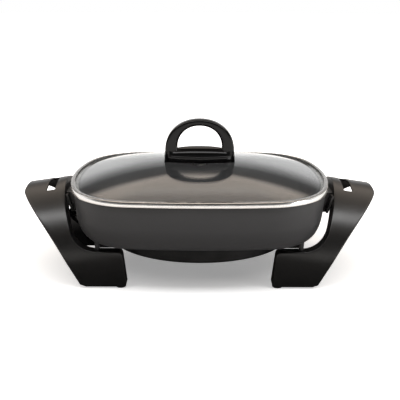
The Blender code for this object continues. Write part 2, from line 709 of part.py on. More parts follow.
def arch_band(outer, inner, side):
    """An upside-down U in Y and Z, extruded outwards along the tilted top line."""
    start_x = FOOT_INNER_X - OVERRUN
    stop_x = FLANGE_TOP_X + ARCH_RADIUS - OVERRUN
    fall = tan(ARCH_TILT)
    centre = arch_centre(start_x)
    foot = -(stop_x - start_x) * fall
    outline = [(outer, foot)] + arc(0.0, centre, outer, 0.0, pi, ARCH_STEPS) + [(-outer, foot)]
    outline += [(-inner, foot)] + arc(0.0, centre, inner, pi, 0.0, ARCH_STEPS) + [(inner, foot)]
    bm = bmesh.new()
    face = bm.faces.new([bm.verts.new((side * start_x, y, z)) for y, z in outline])
    moved = bmesh.ops.extrude_face_region(bm, geom=[face])["geom"]
    verts = [item for item in moved if isinstance(item, bmesh.types.BMVert)]
    run = stop_x - start_x
    bmesh.ops.translate(bm, verts=verts, vec=(side * run, 0.0, -run * fall))
    return bm


def slot_cutter(side):
    half_x = SLOT_WIDTH / 2
    half_y = SLOT_LENGTH / 2
    centre = SLOT_X * side
    low = RIM_HEIGHT - FLANGE_DEPTH * 2
    bm = block((centre - half_x, -half_y, low), (centre + half_x, half_y, RIM_HEIGHT))
    upright = [edge for edge in bm.edges if abs(edge.verts[0].co.z - edge.verts[1].co.z) > FLANGE_DEPTH]
    bmesh.ops.bevel(bm, geom=upright, offset=SLOT_CORNER_RADIUS, segments=EDGE_STEPS, profile=0.5,
                    affect="EDGES", material=-1)
    return bm


def wing_holes(side):
    """Screw holes through the flange and the shelves, and stem holes through the foot plates."""
    bm = bmesh.new()
    screw = SCREW_DIAMETER / 2 + FIT_GAP
    stem = FOOT_STEM_DIAMETER / 2 + FIT_GAP
    for y in (-shelf_screw_y(), shelf_screw_y()):
        low = SHELF_HEIGHT - WING_SKIN - OVERRUN
        place = Matrix.Translation((side * SHELF_SCREW_X, y, 0))
        turned(bm, [(screw, low), (screw, SHELF_HEIGHT + OVERRUN)], place)
    for y in (-FOOT_Y, FOOT_Y):
        place = Matrix.Translation((side * FOOT_X, y, FOOT_HEIGHT))
        turned(bm, [(stem, -OVERRUN), (stem, FOOT_PLATE + OVERRUN)], place)
    for y in (-NECK_SCREW_SPACING / 2, NECK_SCREW_SPACING / 2):
        place = facing(side * NECK_PAD_X, y, NECK_SCREW_HEIGHT, (-side, 0, 0))
        turned(bm, [(screw, -OVERRUN), (screw, NECK_PAD_X - flange_x(NECK_SCREW_HEIGHT) + OVERRUN)], place)
    return bm


def neck_pads(side):
    """Flat seats for the neck screws on the leaning flange."""
    bm = bmesh.new()
    for y in (-NECK_SCREW_SPACING / 2, NECK_SCREW_SPACING / 2):
        place = facing(side * NECK_PAD_X, y, NECK_SCREW_HEIGHT, (-side, 0, 0))
        turned(bm, [(NECK_PAD_DIAMETER / 2, 0), (NECK_PAD_DIAMETER / 2, WING_SKIN * 2)], place)
    return bm


def build_wing(name, side):
    band = arch_band(ARCH_RADIUS, ARCH_RADIUS - FLANGE_DEPTH, side)
    wing = finish(name, band, satin_black(name + "_plastic"))
    pocket = arch_band(ARCH_RADIUS - WING_SKIN, ARCH_RADIUS - FLANGE_DEPTH - OVERRUN, side)
    hollow = boolean(wing, "DIFFERENCE", name + "_hollow", pocket)
    trim = prism(pocket_outline(), -ARCH_RADIUS, ARCH_RADIUS, side)
    boolean(hollow, "INTERSECT", name + "_hollow_trim", trim)
    boolean(wing, "UNION", name + "_pads", neck_pads(side))
    reach = ARCH_RADIUS + OVERRUN
    boolean(wing, "INTERSECT", name + "_trim", prism(wing_outline(), -reach, reach, side))
    boolean(wing, "DIFFERENCE", name + "_slot", slot_cutter(side))
    boolean(wing, "DIFFERENCE", name + "_holes", wing_holes(side))


def build_neck(name, side):
    """Spacer block between the end of the pan and the leaning flange."""
    inner = RIM_LENGTH / 2 - PAN_SETBACK - PAN_DRAFT - OVERRUN * 2
    outline = [(inner, NECK_BOTTOM), (flange_x(NECK_BOTTOM) - FIT_GAP, NECK_BOTTOM)]
    outline += [(flange_x(NECK_TOP) - FIT_GAP, NECK_TOP), (inner, NECK_TOP)]
    neck = finish(name, prism(outline, -NECK_WIDTH / 2, NECK_WIDTH / 2, side), satin_black(name + "_plastic"))
    boolean(neck, "DIFFERENCE", name + "_pan_clearance", pan_clearance(FIT_GAP, FIT_GAP))
    holes = bmesh.new()
    for y in (-NECK_SCREW_SPACING / 2, NECK_SCREW_SPACING / 2):
        seat = pan_end_x(y) + END_BOSS_PROUD + FIT_GAP
        screw = SCREW_DIAMETER / 2 + FIT_GAP
        boss = END_BOSS_DIAMETER / 2 + FIT_GAP
        profile = [(boss, inner - OVERRUN), (boss, seat), (screw, seat), (screw, NECK_PAD_X + OVERRUN)]
        turned(holes, profile, facing(0, y, NECK_SCREW_HEIGHT, (side, 0, 0)))
    boolean(neck, "DIFFERENCE", name + "_holes", holes)


def screw_profile(length):
    """Pan head below zero, shank above it."""
    head = SCREW_HEAD_DIAMETER / 2
    shank = SCREW_DIAMETER / 2
    rise = SCREW_HEAD_HEIGHT
    return [(head / 2, -rise), (head * cos(pi / 6), -rise * cos(pi / 6)), (head, -rise / 2), (head, -FIT_GAP),
            (shank, -FIT_GAP), (shank, length - shank), (shank / 2, length)]


def build_screws():
    steel = bright_steel("screw_steel")
    short = bmesh.new()
    turned(short, screw_profile(SCREW_LENGTH), Matrix.Identity(4))
    places = [Matrix.Translation((x, y, SHELF_HEIGHT - WING_SKIN)) for x, y in shelf_lug_places()]
    copies("shelf_screw", short.copy(), places, steel)
    places = [Matrix.Translation((x, y, GUARD_BOTTOM)) for x, y in guard_lug_places()]
    copies("guard_screw", short, places, steel)
    boss_face = pan_end_x(NECK_SCREW_SPACING / 2) + END_BOSS_PROUD
    long = bmesh.new()
    turned(long, screw_profile(NECK_PAD_X - boss_face + NECK_SCREW_BITE), Matrix.Identity(4))
    places = [facing(end * NECK_PAD_X, y, NECK_SCREW_HEIGHT, (-end, 0, 0)) for end, y in neck_screw_places()]
    copies("neck_screw", long, places, steel)


def build_foot(name, x, y):
    pad = FOOT_DIAMETER / 2
    stem = FOOT_STEM_DIAMETER / 2
    cap = FOOT_STEM_HEAD / 2
    top = FOOT_HEIGHT + FOOT_PLATE + FIT_GAP
    profile = [(pad - FOOT_HEIGHT / 3, 0), (pad, FOOT_HEIGHT / 3), (pad, FOOT_HEIGHT - FIT_GAP)]
    profile += [(stem, FOOT_HEIGHT - FIT_GAP), (stem, top), (cap, top), (stem, top + FOOT_STEM_CAP)]
    bm = bmesh.new()
    turned(bm, profile, Matrix.Identity(4))
    foot = finish(name, bm, black_rubber(name + "_rubber"))
    foot.location = (x, y, 0.0)


def dome_height(share):
    """Rise of the glass at a share of the way from its lip to its middle."""
    return DOME_RISE * (1 - (1 - share) ** DOME_FULLNESS_SHARE)


def dome_rings(base, hole, lift, edge_offset):
    """Rings from the glass edge up to a hole in the crown, at heights above the rim plane."""
    lip = rim_outline(-GLASS_LIP - GLASS_EDGE_INSET)
    middle = []
    for x, y in lip:
        reach = hypot(x, y)
        middle.append((x / reach * hole, y / reach * hole))
    rings = [level(rim_outline(edge_offset), base + lift)]
    for step in range(DOME_STEPS + 1):
        share = step / DOME_STEPS
        outline = [(p[0] + (q[0] - p[0]) * share, p[1] + (q[1] - p[1]) * share) for p, q in zip(lip, middle)]
        rings.append(level(outline, base + lift + dome_height(share)))
    return rings


def build_glass(lid):
    hole = KNOB_HOLE / 2
    under = dome_rings(GLASS_BOTTOM, hole, 0.0, -GLASS_EDGE_INSET)
    over = dome_rings(GLASS_BOTTOM, hole, GLASS_THICKNESS, -GLASS_EDGE_INSET)
    finish("lid_glass", ringed(under + over[::-1], wrap=True), clear_glass("lid_clear"), parent=lid)


def build_band(lid):
    sheet = BAND_SHEET
    top = BAND_HEIGHT
    edge = BAND_EDGE_RADIUS
    skirt = -PAN_SETBACK - RIM_LAND - SKIRT_CLEARANCE
    section = [(0.0, 0.0)] + arc(-edge, top - edge, edge, 0.0, pi / 2, EDGE_STEPS)
    section += [(-BAND_LIP, top), (-BAND_LIP, top - sheet)]
    section += arc(-edge, top - edge, edge - sheet, pi / 2, 0.0, EDGE_STEPS)
    section += [(-sheet, sheet), (skirt - sheet, sheet), (skirt - sheet, -SKIRT_DEPTH)]
    section += [(skirt, -SKIRT_DEPTH), (skirt, 0.0)]
    rings = [level(rim_outline(offset), z) for offset, z in section]
    finish("lid_band", ringed(rings, wrap=True), bright_steel("band_steel"), parent=lid)


def build_seal(lid):
    """Silicone channel between the glass edge and the folded band."""
    gap = FIT_GAP
    outer = -max(BAND_SHEET, BAND_EDGE_RADIUS / 2) - gap
    inner = -GLASS_EDGE_INSET + gap
    low = BAND_SHEET + gap
    high = BAND_HEIGHT - BAND_SHEET - gap
    glass_low = GLASS_BOTTOM - gap
    glass_high = GLASS_BOTTOM + GLASS_THICKNESS + gap
    chamfer = BAND_EDGE_RADIUS / 2
    section = [(outer, low), (outer, high - chamfer), (outer - chamfer, high), (-SEAL_LIP, high)]
    section += [(-SEAL_LIP, glass_high), (inner, glass_high), (inner, glass_low), (-SEAL_LIP, glass_low)]
    section += [(-SEAL_LIP, low)]
    rings = [level(rim_outline(offset), z) for offset, z in section]
    finish("lid_seal", ringed(rings, wrap=True), clear_silicone("seal_silicone"), parent=lid)


def power_arch(half_width, centre, top, power, steps):
    """Upper half of a superellipse, from the -X side over the top to the +X side."""
    points = []
    for step in range(steps + 1):
        a = pi * (1 - step / steps)
        x = half_width * abs(cos(a)) ** (2 / power)
        z = (top - centre) * abs(sin(a)) ** (2 / power)
        points.append((x if cos(a) > 0 else -x, centre + z))
    return points


def build_knob(lid):
    root = GLASS_CROWN - OVERRUN
    top = GLASS_CROWN + KNOB_HEIGHT
    power = KNOB_ARCH_POWER_SHARE
    outer = power_arch(KNOB_HALF_WIDTH, GLASS_CROWN + KNOB_FLANK, top, power, LOOP_STEPS)
    outline = [(-KNOB_BASE_HALF_WIDTH, root)] + outer + [(KNOB_BASE_HALF_WIDTH, root)]
    half = KNOB_THICKNESS / 2
    loop = prism(outline, -half, half)
    rims = [edge for edge in loop.edges if abs(edge.verts[0].co.y - edge.verts[1].co.y) < FIT_GAP]
    rims = [edge for edge in rims if max(edge.verts[0].co.z, edge.verts[1].co.z) > root + OVERRUN]
    bmesh.ops.bevel(loop, geom=rims, offset=KNOB_BEVEL, segments=2, profile=0.5, affect="EDGES", material=-1)
    knob = finish("lid_knob", loop, gloss_black("knob_gloss"), parent=lid)
    middle = GLASS_CROWN + KNOB_HOLE_MIDDLE
    foot = GLASS_CROWN + BASE_SHOULDER
    hole = power_arch(KNOB_HOLE_HALF_WIDTH, middle, top - KNOB_BAR, power, LOOP_STEPS)
    hole = [(-CROWN_HALF_LENGTH, foot)] + hole + [(CROWN_HALF_LENGTH, foot)]
    boolean(knob, "DIFFERENCE", "knob_opening", prism(hole, -BASE_HALF_DEPTH, BASE_HALF_DEPTH))
    boolean(knob, "UNION", "knob_base", knob_base(root))
    boolean(knob, "DIFFERENCE", "knob_glass_seat", glass_cutter())
    socket = bmesh.new()
    radius = INSERT_DIAMETER / 2 + FIT_GAP
    turned(socket, [(radius, root - OVERRUN), (radius, GLASS_CROWN + INSERT_LENGTH + FIT_GAP * 2)],
           Matrix.Identity(4))
    boolean(knob, "DIFFERENCE", "knob_insert_hole", socket)


def knob_base(root):
    """Boat-shaped plinth with a shallow crown."""
    length = KNOB_BASE_HALF_WIDTH
    depth = BASE_HALF_DEPTH
    shoulder = GLASS_CROWN + BASE_SHOULDER
    shoulder_length = length - KNOB_BEVEL
    shoulder_depth = depth - KNOB_BEVEL / 2
    rings = [level(ellipse(length, depth, LOOP_STEPS), root)]
    rings.append(level(ellipse(length - FIT_GAP, depth, LOOP_STEPS), (root + shoulder) / 2))
    rings.append(level(ellipse(shoulder_length, shoulder_depth, LOOP_STEPS), shoulder))
    for step in range(1, CROWN_STEPS + 1):
        angle = step / CROWN_STEPS * pi / 2
        half_x = shoulder_length + (CROWN_HALF_LENGTH - length) * (1 - cos(angle))
        half_y = shoulder_depth + (CROWN_HALF_DEPTH - depth) * (1 - cos(angle))
        height = shoulder + (BASE_CROWN - BASE_SHOULDER) * sin(angle)
        rings.append(level(ellipse(half_x, half_y, LOOP_STEPS), height))
    flat = ellipse(CROWN_HALF_LENGTH / 4, CROWN_HALF_DEPTH / 4, LOOP_STEPS)
    rings.append(level(flat, GLASS_CROWN + BASE_CROWN + FIT_GAP))
    return ringed(rings)


def glass_cutter():
    """The glass with its top raised by the fit gap and its hole closed."""
    over = dome_rings(GLASS_BOTTOM, FIT_GAP, GLASS_THICKNESS + FIT_GAP, -GLASS_EDGE_INSET)
    under = [level(rim_outline(-GLASS_EDGE_INSET), GLASS_BOTTOM - OVERRUN)]
    return ringed(under + over)


def build_knob_fixings(lid):
    crown_under = GLASS_CROWN - GLASS_THICKNESS
    hole = KNOB_HOLE / 2 - FIT_GAP
    bore = KNOB_SCREW_DIAMETER / 2 + FIT_GAP
    flange = WASHER_DIAMETER / 2
    low = crown_under - FIT_GAP - GROMMET_FLANGE
    sag = dome_height(1.0) - dome_height(1.0 - flange / (RIM_WIDTH / 2))
    collar = [(bore, low), (flange, low), (flange, crown_under - FIT_GAP - sag)]
    collar += [(hole, crown_under - FIT_GAP), (hole, GLASS_CROWN - FIT_GAP), (bore, GLASS_CROWN - FIT_GAP)]
    grommet = bmesh.new()
    turned_ring(grommet, collar, Matrix.Identity(4))
    finish("knob_grommet", grommet, clear_silicone("grommet_silicone"), parent=lid)
    washer_top = low - FIT_GAP
    washer_low = washer_top - WASHER_THICKNESS
    washer = bmesh.new()
    turned_ring(washer, [(bore, washer_low), (flange, washer_low), (flange, washer_top), (bore, washer_top)],
                Matrix.Identity(4))
    finish("knob_washer", washer, bright_steel("washer_steel"), parent=lid)
    insert = bmesh.new()
    outer = INSERT_DIAMETER / 2
    bottom = GLASS_CROWN + FIT_GAP
    top = bottom + INSERT_LENGTH
    turned_ring(insert, [(bore, bottom), (outer, bottom), (outer, top), (bore, top)], Matrix.Identity(4))
    finish("knob_insert", insert, brass("insert_brass"), parent=lid)
    head = KNOB_SCREW_HEAD_DIAMETER / 2
    shank = KNOB_SCREW_DIAMETER / 2
    seat = washer_low - FIT_GAP
    base = seat - KNOB_SCREW_HEAD_HEIGHT
    profile = [(head / 2, base), (head * cos(pi / 6), base + KNOB_SCREW_HEAD_HEIGHT / 6)]
    profile += [(head, base + KNOB_SCREW_HEAD_HEIGHT / 2), (head, seat), (shank, seat)]
    tip = GLASS_CROWN + KNOB_SCREW_REACH
    profile += [(shank, tip - shank / 2), (shank / 2, tip)]
    screw = bmesh.new()
    turned(screw, profile, Matrix.Identity(4))
    finish("knob_screw", screw, bright_steel("knob_screw_steel"), parent=lid)


def build_lid():
    lid = bpy.data.objects.new("lid_lift", None)
    bpy.context.scene.collection.objects.link(lid)
    lid.location = (0.0, 0.0, RIM_HEIGHT)
    build_glass(lid)
    build_band(lid)
    build_seal(lid)
    build_knob(lid)
    build_knob_fixings(lid)


def build_base():
    build_pan()
    build_heater_ring()
    build_heating_element()
    build_terminals()
    build_probe_well()
    build_socket_guard()
    for name, side in (("left", -1), ("right", 1)):
        build_wing("handle_leg_" + name, side)
        build_neck("neck_" + name, side)
        build_foot("foot_front_" + name, side * FOOT_X, -FOOT_Y)
        build_foot("foot_rear_" + name, side * FOOT_X, FOOT_Y)
    build_screws()


def main():
    for item in list(bpy.data.objects):
        bpy.data.objects.remove(item, do_unlink=True)
    build_base()
    build_lid()


main()
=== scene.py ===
"""Looks of the electric skillet: fine shapes, finishes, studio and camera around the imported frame.

Metres, +Z up. The origin is on the table under the middle of the pan, as in the frame.
"""
from math import asin, atan2, cos, hypot, pi, radians, sin, sqrt, tan

import bmesh
import bpy
from mathutils import Matrix, Vector


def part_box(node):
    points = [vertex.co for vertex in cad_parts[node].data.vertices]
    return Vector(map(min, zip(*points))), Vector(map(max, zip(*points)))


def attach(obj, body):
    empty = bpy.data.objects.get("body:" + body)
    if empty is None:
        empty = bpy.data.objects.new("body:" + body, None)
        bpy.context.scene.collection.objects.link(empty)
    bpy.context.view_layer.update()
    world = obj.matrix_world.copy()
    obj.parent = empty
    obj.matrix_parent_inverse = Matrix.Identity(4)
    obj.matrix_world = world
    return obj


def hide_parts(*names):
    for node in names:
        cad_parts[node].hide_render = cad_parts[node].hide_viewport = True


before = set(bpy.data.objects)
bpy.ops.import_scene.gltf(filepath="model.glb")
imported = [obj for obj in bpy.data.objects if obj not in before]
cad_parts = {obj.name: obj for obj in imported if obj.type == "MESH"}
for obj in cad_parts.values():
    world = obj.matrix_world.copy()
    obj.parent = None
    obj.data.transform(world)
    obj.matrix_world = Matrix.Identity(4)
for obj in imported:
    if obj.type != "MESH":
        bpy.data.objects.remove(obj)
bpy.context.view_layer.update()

# Small gaps
GAP = 0.0003
OVERRUN = 0.004
WELD_DISTANCE = GAP / 30

# Rim outline, read from the lid band and the pan
BAND_LOW, BAND_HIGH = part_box("lid_band")
RIM_LENGTH = BAND_HIGH.x - BAND_LOW.x
RIM_WIDTH = BAND_HIGH.y - BAND_LOW.y
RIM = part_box("pan")[1].z + GAP
RIM_END = RIM_LENGTH / 2
CORNER_RADIUS = 0.095
SIDE_BOW_RADIUS = 1.1
END_BOW_RADIUS = 0.300

# Pan casting
PAN_DEPTH = 0.068
PAN_SETBACK = 0.0025
PAN_DRAFT = 0.0030
PAN_TURN_IN = 0.0215
PAN_TURN_UP = 0.0405
RIM_LAND = 0.007
RIM_ROUND = 0.0012
CAVITY_DRAFT = 0.0005
PAN_FLOOR = 0.004
LUG_RADIUS = 0.0045
LUG_TIP_RADIUS = 0.0032
LUG_ROOT = 0.0052
BOSS_RADIUS = 0.006
BOSS_PROUD = 0.004

# Heater ring
RING_DEPTH = 0.0215
RING_BAND = 0.030
RING_DRAFT = 0.003
RING_EDGE_RADIUS = 0.005
GROOVE_DEPTH = 0.016
GROOVE_HALF_WIDTH = 0.0047
ELEMENT_RADIUS = 0.004
ELEMENT_BEND_RADIUS = 0.012
NOTCH_WALL = 0.006

# Socket guard and its pins
GUARD_WALL = 0.003
GUARD_BACK_BLOCK = 0.016
GUARD_EDGE_RADIUS = 0.006
GUARD_PAN_GAP = 0.001
BEAD_LENGTH = 0.009
WELL_BORE_RADIUS = 0.00325
PIN_NOSE_SHARE = 0.7

# Handle-legs
ARCH_INSET = 0.0485
ARCH_TOP_RISE = 0.0018
ARCH_TILT = radians(8.5)
WING_SKIN = 0.0036
FLANGE_DEPTH = 0.018
FLANGE_TOP_OUTSET = 0.0072
FLANGE_TOP_DROP = 0.005
FLANGE_LEAN = radians(17)
SHELF_DROP = 0.012
SHELF_TURN_RADIUS = 0.038
LEG_INNER_INSET = 0.0820
FOOT_INNER_INSET = 0.0870
FOOT_OUTER_INSET = 0.0215
LEG_RAKE = radians(61)
LEG_BOW_DROP = 0.009
LEG_BOW_RADIUS = 0.245
TIP_OUTSET = 0.0697
TIP_RADIUS = 0.004
LEG_CORNER_RADIUS = 0.006
FOOT_PLATE = 0.004
FOOT_HEIGHT = 0.0025
WING_ROUND = 0.0014
SKIN_BLEND = 0.010
SLOT_OUTSET = 0.0285
SLOT_LENGTH = 0.071
SLOT_WIDTH = 0.0130
SLOT_CORNER_RADIUS = 0.0025

# Lips along the shelves, and gussets beside the necks
LIP_REACH = 0.086
LIP_HEIGHT = 0.0092
GUSSET_REACH = {"neck_left": 0.010, "neck_right": 0.016}
GUSSET_RISE = 0.0035
GUSSET_HEIGHT = 0.0245

# Screws and feet
SCREW_RADIUS = 0.0018
SCREW_HEAD_RADIUS = 0.0035
SCREW_HEAD_HEIGHT = 0.0022
RECESS_WIDTH = 0.0008
RECESS_REACH = 0.0019
RECESS_DEPTH = 0.0012
STEM_RADIUS = 0.003
STEM_CAP = 0.002
STEM_HEAD_RADIUS = 0.004
TREAD_GROOVE = 0.0005
TREAD_INNER_SHARE = 0.4
TREAD_OUTER_SHARE = 0.45

# Lid, with heights above the rim
GLASS_THICKNESS = 0.0036
GLASS_EDGE_INSET = 0.0030
GLASS_LIP = 0.009
DOME_RISE = 0.0225
DOME_FULLNESS = 2.2
BAND_SHEET = 0.0008
BAND_HEIGHT = 0.0078
BAND_LIP = 0.0062
BAND_EDGE_RADIUS = 0.0022
BAND_FACE = 0.0046
BAND_BEVEL_RISE = 0.0023
BAND_BEVEL_DEPTH = 0.0010
SKIRT_DEPTH = 0.0035
SKIRT_CLEARANCE = 0.0008
SEAL_LIP = 0.0052
KNOB_HOLE_RADIUS = 0.0045
DOME_RING_POWER = 1.4

# Knob, with heights above the crown of the glass
KNOB_HEIGHT = 0.063
KNOB_FLANK = 0.0168
KNOB_HALF_WIDTH = 0.0514
KNOB_FLARE = 0.0015
KNOB_POWER = 2.12
KNOB_LEG = 0.0185
KNOB_BAR = 0.0094
KNOB_HOLE_MIDDLE = 0.0218
KNOB_HALF_THICKNESS = 0.009
KNOB_CHAMFER = 0.0032
BASE_HALF_DEPTH = 0.019
BASE_SHOULDER = 0.0098
BASE_CROWN = 0.0215
BASE_EDGE_RADIUS = 0.0022
CROWN_HALF_DEPTH = 0.008
INSERT_RADIUS = 0.0045
INSERT_LENGTH = 0.010
KNOB_SCREW_RADIUS = 0.0025
GROMMET_LIP = 0.0018

# Facets and edges
SMOOTH_ANGLE = radians(35)
EASE_ANGLE = radians(40)
ALIGNED_SHARE = 0.9
SOLVE_STEPS = 12
ROUND_STEPS = 48
CORNER_STEPS = 22
BOW_STEPS = 10
TURN_STEPS = 14
EDGE_STEPS = 4
DOME_STEPS = 22
RING_STEPS = 144
ARCH_STEPS = 34
LEG_STEPS = 46
SKIN_STEPS = 14
KNOB_STEPS = 72

# Camera of the photograph
PHOTO_SIZE = 400
FOCAL_PIXELS = 719.0
SENSOR = 36.0
CAMERA_DISTANCE = 1.099
CAMERA_ELEVATION = radians(17)
AIM_HEIGHT = 0.100
PRINCIPAL_X = 199.45
PRINCIPAL_Y = 200.5
CAMERA_ROLL = radians(0.2)

# Studio floor with a painted shadow and painted reflections, with distances from the middle of the pan
FLOOR_RADIUS = 9.0
FLOOR_STEPS = 96
FLOOR_TONE = 0.93
FLOOR_ROUGHNESS = 0.9
# Glow of the painted shadow seen by the camera
PAINTED_SHADOW_GLOW = 0.28
PAINTED_SHADOW_RANGE = (0.20, 0.50)
PAINTED_SHADOW_EDGE_GLOW = 0.22
PAINTED_SHADOW_EDGE_RANGE = (0.50, 1.20)
PAINTED_SHADOW_HALF_LENGTH = 0.19
PAINTED_SHADOW_HALF_WIDTH = 0.11
# Painted shade and painted glow of the floor in reflections
PAINTED_SHADE_IN_REFLECTIONS = 0.06
PAINTED_SHADE_REFLECTION_RANGE = (0.30, 0.50)
PAINTED_REFLECTION_GLOW = 0.55
PAINTED_REFLECTION_RANGE = (0.55, 1.0)

# Studio walls, with heights and depths as parts of a direction, and lamps
WARM_WHITE = (1.0, 0.87, 0.75)
WARM_RANGE = (0.30, 0.60)
WALL_LIGHT = 0.95
BELT_LIGHT = 0.12
BELT_RANGE = (0.16, 0.32)
UPPER_LIGHT = 1.20
UPPER_RANGE = (0.46, 0.58)
TOP_RANGE = (0.68, 1.06)
FRONT_SHARE = 0.16
REAR_RANGE = (-0.5, 0.3)
SOFTBOX_PLACE = (0.20, -0.58, 1.25)
SOFTBOX_AIM = (0.20, -0.02, 0.05)
SOFTBOX_SIZE = (2.7, 0.38)
SOFTBOX_WATTS = 16.0
PANEL_PLACE = (1.25, -0.66, 0.22)
PANEL_AIM = (0.14, -0.10, 0.10)
PANEL_SIZE = (0.5, 0.3)
PANEL_WATTS = 2.8

# Levels worked out from the sizes above
PAN_BOTTOM = RIM - PAN_DEPTH
RING_LOW, RING_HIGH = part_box("heater_ring")
RING_HALF_LENGTH = RING_HIGH.x - RING_DRAFT
RING_HALF_WIDTH = RING_HIGH.y - RING_DRAFT
RING_TOP = PAN_BOTTOM - GAP
RING_BOTTOM = RING_TOP - RING_DEPTH
PIN_HEIGHT = RING_BOTTOM + GROOVE_DEPTH - GAP - ELEMENT_RADIUS
ARCH_RADIUS = RIM_WIDTH / 2 - ARCH_INSET
FLANGE_TOP_X = RIM_END + FLANGE_TOP_OUTSET
FLANGE_TOP_Z = RIM - FLANGE_TOP_DROP
LEAN = tan(FLANGE_LEAN)
FALL = tan(ARCH_TILT)
SHELF_HEIGHT = PAN_BOTTOM - SHELF_DROP
LEG_INNER_X = RIM_END - LEG_INNER_INSET
FOOT_INNER_X = RIM_END - FOOT_INNER_INSET
FOOT_OUTER_X = RIM_END - FOOT_OUTER_INSET
GLASS_BOTTOM = BAND_SHEET + (BAND_HEIGHT - 2 * BAND_SHEET - GLASS_THICKNESS) / 2
GLASS_CROWN = GLASS_BOTTOM + GLASS_THICKNESS + DOME_RISE
KNOB_HOLE_HALF_WIDTH = KNOB_HALF_WIDTH - KNOB_LEG
KNOB_BASE_HALF_WIDTH = KNOB_HALF_WIDTH + KNOB_FLARE


# Outlines

def arc(centre_x, centre_z, radius, start, stop, steps):
    """Points on a circle, both ends included."""
    angles = [start + (stop - start) * step / steps for step in range(steps + 1)]
    return [(centre_x + radius * cos(a), centre_z + radius * sin(a)) for a in angles]


def rim_centres():
    """Centres of the side bow, the end bow and the corner arc that touches both."""
    side_centre = Vector((0.0, RIM_WIDTH / 2 - SIDE_BOW_RADIUS))
    end_centre = Vector((RIM_END - END_BOW_RADIUS, 0.0))
    side_reach = SIDE_BOW_RADIUS - CORNER_RADIUS
    end_reach = END_BOW_RADIUS - CORNER_RADIUS
    span = end_centre - side_centre
    along = (side_reach ** 2 - end_reach ** 2 + span.length_squared) / (2 * span.length)
    across = sqrt(side_reach ** 2 - along ** 2)
    direction = span.normalized()
    corner = side_centre + direction * along + Vector((direction.y, -direction.x)) * across
    return side_centre, end_centre, corner


def rim_outline(offset, z):
    """Bowed rounded rectangle at a height, moved in or out from the rim by an offset."""
    side_centre, end_centre, corner = rim_centres()
    side_angle = atan2(corner.y - side_centre.y, corner.x - side_centre.x)
    end_angle = atan2(corner.y - end_centre.y, corner.x - end_centre.x)
    quarter = arc(end_centre.x, 0.0, END_BOW_RADIUS + offset, 0.0, end_angle, BOW_STEPS)
    quarter += arc(corner.x, corner.y, CORNER_RADIUS + offset, end_angle, side_angle, CORNER_STEPS)[1:]
    quarter += arc(0.0, side_centre.y, SIDE_BOW_RADIUS + offset, side_angle, pi / 2, BOW_STEPS)[1:]
    half = quarter + [(-x, y) for x, y in reversed(quarter[:-1])]
    return [(x, y, z) for x, y in half + [(x, -y) for x, y in reversed(half[1:-1])]]


def oval(half_x, half_y, z, steps):
    angles = [2 * pi * step / steps for step in range(steps)]
    return [(half_x * cos(a), half_y * sin(a), z) for a in angles]


def squared_arch(half_width, spring, top, steps):
    """Upper half of a superellipse, from the -X side over the top to the +X side."""
    points = []
    for step in range(steps + 1):
        a = pi * (1 - step / steps)
        x = half_width * abs(cos(a)) ** (2 / KNOB_POWER)
        z = (top - spring) * abs(sin(a)) ** (2 / KNOB_POWER)
        points.append((x if cos(a) > 0 else -x, spring + z))
    return points


def along_path(points, share):
    """Point at a share of the length of a run of points."""
    lengths = [hypot(q[0] - p[0], q[1] - p[1]) for p, q in zip(points, points[1:])]
    left = share * sum(lengths)
    for (p, q), length in zip(zip(points, points[1:]), lengths):
        if left <= length:
            t = left / length
            return Vector((p[0] + (q[0] - p[0]) * t, p[1] + (q[1] - p[1]) * t))
        left -= length
    return Vector(points[-1])


# Mesh building

def loft(bm, rings, wrap=False, slots=None):
    """Extrudes the first ring through the rest, then fills both ends or welds the last to the first."""
    first = [bm.verts.new(point) for point in rings[0]]
    verts = first
    edges = [bm.edges.new((first[number - 1], first[number])) for number in range(len(first))]
    start = edges
    for number, ring in enumerate(rings[1:] + rings[:1] * wrap):
        made = bmesh.ops.extrude_edge_only(bm, edges=edges)["geom"]
        fresh = {item for item in made if isinstance(item, bmesh.types.BMVert)}
        verts = [next(e.other_vert(v) for e in v.link_edges if e.other_vert(v) in fresh) for v in verts]
        edges = [item for item in made if isinstance(item, bmesh.types.BMEdge)]
        edges = [edge for edge in edges if fresh.issuperset(edge.verts)]
        for vert, point in zip(verts, ring):
            vert.co = point
        for face in (item for item in made if isinstance(item, bmesh.types.BMFace)):
            face.material_index = slots[number] if slots else 0
    if wrap:
        bmesh.ops.weld_verts(bm, targetmap=dict(zip(verts, first)))
        return bm
    for loop, number in ((start, 0), (edges, -1)):
        for face in bmesh.ops.contextual_create(bm, geom=loop)["faces"]:
            face.material_index = slots[number] if slots else 0
    return bm


def turned(bm, profile, matrix, steps=ROUND_STEPS):
    """Spins a run of (radius, height) points about Z, then places it by the matrix."""
    closed = profile[0] == profile[-1]
    verts = [bm.verts.new((radius, 0.0, height)) for radius, height in profile[closed:]]
    edges = [bm.edges.new(pair) for pair in zip(verts, verts[1:] + verts[:closed])]
    before = set(bm.verts)
    bmesh.ops.spin(bm, geom=verts + edges, axis=(0, 0, 1), cent=(0, 0, 0), angle=2 * pi,
                   steps=steps, use_merge=True)
    whole = set(verts) | (set(bm.verts) - before)
    whole = [v for v in whole if v.is_valid]
    bmesh.ops.remove_doubles(bm, verts=whole, dist=WELD_DISTANCE)
    whole = [v for v in whole if v.is_valid]
    bmesh.ops.transform(bm, matrix=matrix, verts=whole)


def facing(x, y, z, direction):
    """Places a turned body: its own Z points along the direction."""
    return Matrix.Translation((x, y, z)) @ Vector(direction).to_track_quat("Z", "Y").to_matrix().to_4x4()


def block(low, high):
    size = Vector(high) - Vector(low)
    centre = (Vector(high) + Vector(low)) / 2
    bm = bmesh.new()
    bmesh.ops.create_cube(bm, size=1.0, matrix=Matrix.Translation(centre) @ Matrix.Diagonal((*size, 1.0)))
    return bm


